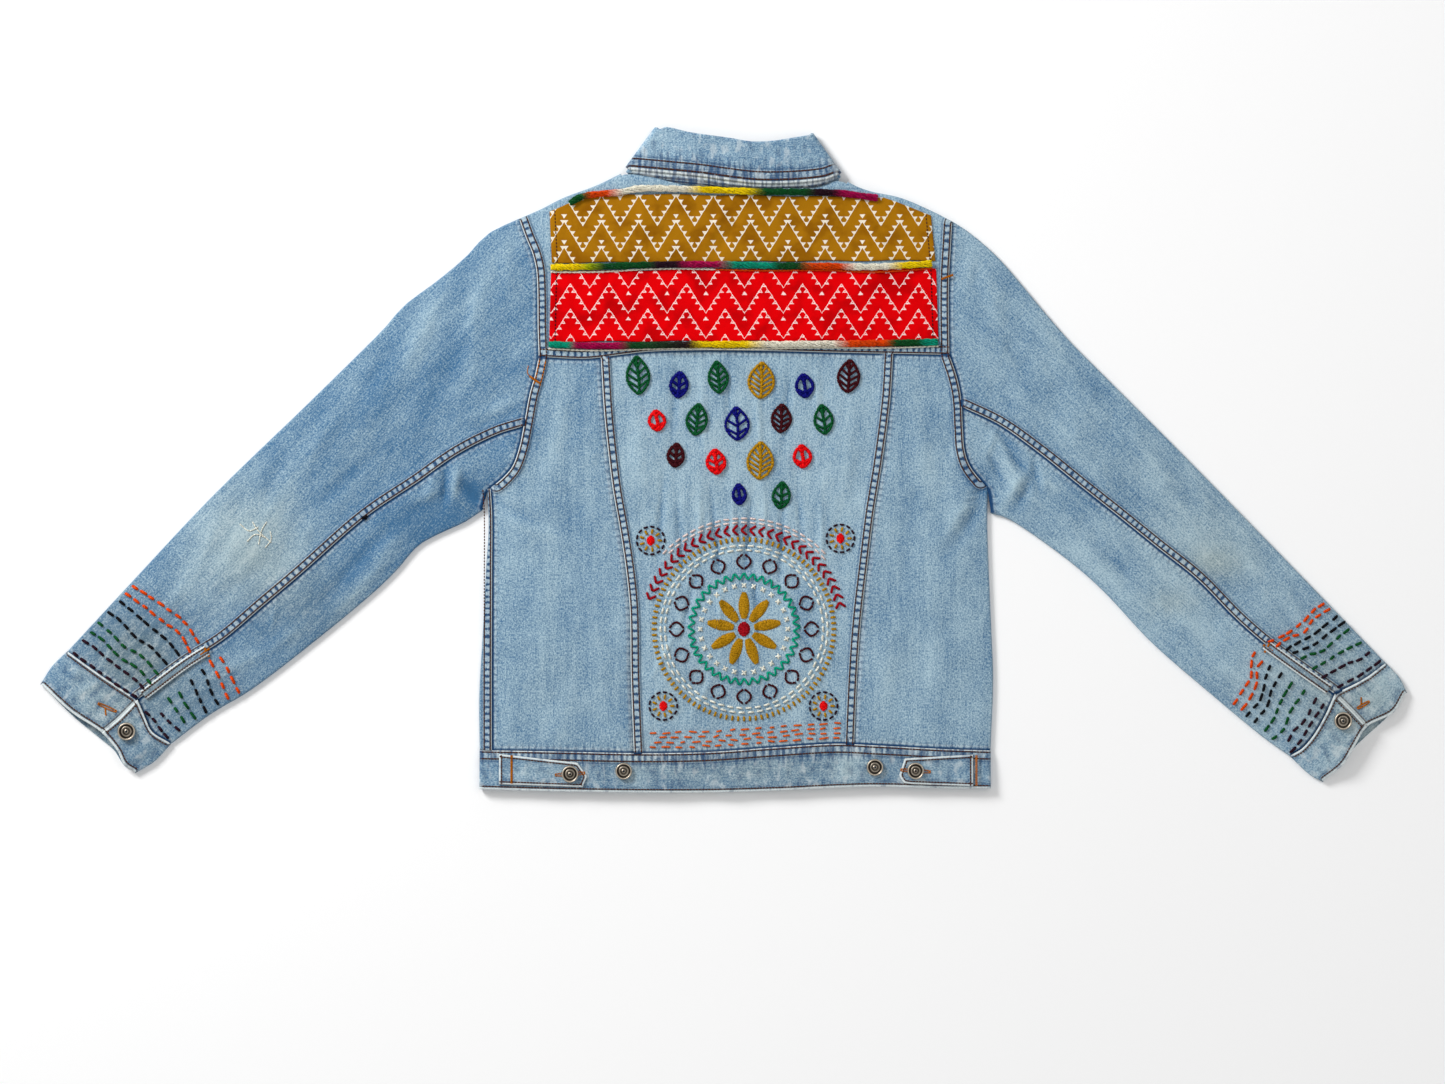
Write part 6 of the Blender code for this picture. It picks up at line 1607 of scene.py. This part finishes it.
def yarnTrim(name, trim, seed):
    # strands twisted round one another, each at its own slightly uneven pace, and loose fibres about them
    random = np.random.default_rng(seed)
    centre = curve(trim["line"], even(int(lengthOf(trim["line"]) / yarnStrand["step"])))
    steps = len(centre)
    run = along(centre)
    height = onPatch(centre) + 2.3
    sideways = normalsOf(centre, (0.0, -900.0))
    count = yarnStrand["count"]
    number = np.arange(count)[:, None]
    distance = run * lengthOf(centre)
    turn = (distance / yarnStrand["twist"] + 0.25 * np.sin(distance / 17.0))[None] * 2 * math.pi
    turn = turn + number / count * 2 * math.pi
    spread = yarnStrand["spread"] * (1 + 0.16 * np.sin(distance / 9.0 + number * 2.0))
    paths = np.empty((count, steps, 3))
    paths[..., :2] = centre[None] + (spread * np.cos(turn))[..., None] * 1.15 * sideways[None]
    paths[..., 2] = height[None] + 0.75 * spread * np.sin(turn)
    radii = yarnStrand["radius"] * (1 + 0.14 * np.sin(distance / 5.0 + number * 1.7))
    radii[:, [0, -1]] *= 0.4
    share = np.broadcast_to(run, (count, steps))
    if "fringe" in trim:  # two thin strands below the yarn, dyed as it is at other places along it
        below, colours = trim["fringe"]
        turn = distance[None] / 9.0 * 2 * math.pi + np.array([[0.0], [math.pi]])
        thin = np.empty((2, steps, 3))
        away = 0.5 * np.cos(turn) - below - 0.5 * np.sin(distance / 23.0)
        thin[..., :2] = centre[None] + away[..., None] * sideways[None]
        thin[..., 2] = onPatch(centre)[None] + 0.9 + 0.5 * np.sin(turn)
        paths, radii = np.concatenate([paths, thin]), np.concatenate([radii, np.full((2, steps), 0.55)])
        share = np.concatenate([share, np.broadcast_to(np.interp(run, *np.transpose(colours)), (2, steps))])
    points, faces = tubes(paths, radii, yarnStrand["sides"])
    share = np.repeat(share.reshape(-1), yarnStrand["sides"])

    fibres = yarnStrand["fibres"]
    place = random.uniform(0.01, 0.99, fibres)
    root = resample(np.column_stack([centre, height, sideways]), place)
    angle = random.uniform(-0.15, math.pi + 0.15, fibres)
    out = np.column_stack([root[:, 3:5] * np.cos(angle)[:, None], np.sin(angle)])
    ahead = np.column_stack([root[:, 4], -root[:, 3], 0 * place])
    ahead = ahead * random.choice([-1.0, 1.0], fibres)[:, None]
    length = random.uniform(2.5, 6.0, fibres)[:, None]
    start = root[:, :3] + out * 2.3
    lean = random.uniform(0.1, 0.45, fibres)[:, None]
    middle = start + length * 0.5 * (ahead + lean * out)
    end = middle + length * 0.5 * (ahead + random.normal(0.0, 0.25, (fibres, 3)))
    hairs, hairFaces = tubes(np.stack([start, middle, end], axis=1), np.array([0.12, 0.1, 0.05]), 3)
    hairFaces = [[corner + len(points) for corner in face] for face in hairFaces]
    share = np.concatenate([share, np.repeat(place, 9)])
    mesh = meshOf(name + "_strands", np.vstack([points, hairs]), faces + hairFaces, {"along": share})
    piece = shown(name + "_strands", mesh, brushedYarn(name + "DyeAndShade", trim["dye"]))
    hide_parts(name)


for number, (name, trim) in enumerate(yarns.items()):
    yarnTrim(name, trim, 200 + number)

# Buttons

buttonProfile = (  # share of the radius, share of the height, how much painted shade: from under the middle round to its top
    (0, 0, 0.4), (0.93, 0, 0.4), (1, 0.14, 0.1), (1, 0.5, 0), (0.96, 0.82, 0), (0.90, 1, 0), (0.83, 0.93, 0.1),
    (0.78, 0.62, 1), (0.60, 0.60, 1), (0.55, 0.72, 0.5), (0.50, 0.76, 0.3), (0.45, 0.68, 0.8), (0.26, 0.66, 1),
    (0.22, 0.80, 0.5), (0.15, 0.86, 0.2), (0, 0.88, 0.4),
)


def turnedButton(name):
    low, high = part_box(name)
    profile = np.array(buttonProfile)
    radius, height = (high[0] - low[0]) / 2 / mm, (high[2] - low[2]) / mm
    turn = np.linspace(0.0, 2 * math.pi, 49)[:, None]
    middle = np.array([(low[0] + high[0]) / 2, (low[1] + high[1]) / 2]) / mm - origin[:2] / mm
    x, y = [middle[axis] + radius * profile[:, 0] * way(turn) for axis, way in enumerate((np.cos, np.sin))]
    grid = np.stack([x, y, low[2] / mm + height * profile[:, 1] + 0 * turn, profile[:, 2] + 0 * turn], axis=-1)
    points, faces = merged([grid])
    mesh = meshOf(name + "_turned", points[:, :3], faces, {"low": points[:, 3]})
    faceOutwards(mesh, True)
    piece = shown(name + "_turned", mesh, materials["metal"])
    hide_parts(name)


for kind in ("tab", "spare", "cuff"):
    for sideName in sides:
        turnedButton(f"button_{kind}_{sideName}")
for number in range(1, 7):
    hidden = bpy.data.objects[f"button_front_{number}"]
    for slot in hidden.material_slots:
        slot.material = materials["metal"]
print("stitching, yarn and buttons made")

# Studio

reach, below = 4000.0, -0.4
floorCorners = [(x * reach, y * reach, below) for x, y in ((-1, -1), (1, -1), (1, 1), (-1, 1))]
floor = bpy.data.objects.new("floor", meshOf("floor", np.array(floorCorners), np.array([[0, 1, 2, 3]])))
bpy.context.scene.collection.objects.link(floor)
floorGraph = Graph("paleFloor")
floor.data.materials.append(floorGraph.finish(colour=(0.97, 0.97, 0.97, 1.0), roughness=0.9))

photo = {"width": 1445, "scale": 0.95, "centre": (-11.875, 235.6), "distance": 6.0, "sensor": 36.0}
camera = bpy.data.objects.new("camera", bpy.data.cameras.new("camera"))
bpy.context.scene.collection.objects.link(camera)
camera.data.sensor_width = photo["sensor"]
camera.data.lens = photo["sensor"] * photo["distance"] / (photo["width"] * photo["scale"] * mm)
camera.data.clip_end = 50.0
x, y = photo["centre"]
camera.location = (x * mm + origin[0], y * mm + origin[1], photo["distance"])
bpy.context.scene.camera = camera

lights = {  # where each soft light stands, its size in metres and its power in watts
    "key": ((-2.2, 1.9, 1.8), 1.1, 112.0),
    "fill": ((1.9, 0.6, 2.8), 2.4, 18.0),
    "low": ((0.2, -2.0, 2.6), 2.4, 14.0),
}
for name, (place, size, power) in lights.items():
    light = bpy.data.objects.new(name, bpy.data.lights.new(name, "AREA"))
    bpy.context.scene.collection.objects.link(light)
    light.data.size = size
    light.data.energy = power
    light.location = place
    light.rotation_mode = "QUATERNION"
    light.rotation_quaternion = light.location.to_track_quat("Z", "Y")
world = bpy.data.worlds.new("studio")
world.use_nodes = True
world.node_tree.nodes["Background"].inputs["Color"].default_value = (1.0, 1.0, 1.0, 1.0)
world.node_tree.nodes["Background"].inputs["Strength"].default_value = 0.37
bpy.context.scene.world = world
bpy.context.scene.view_settings.view_transform = "Standard"

print("scene ready")
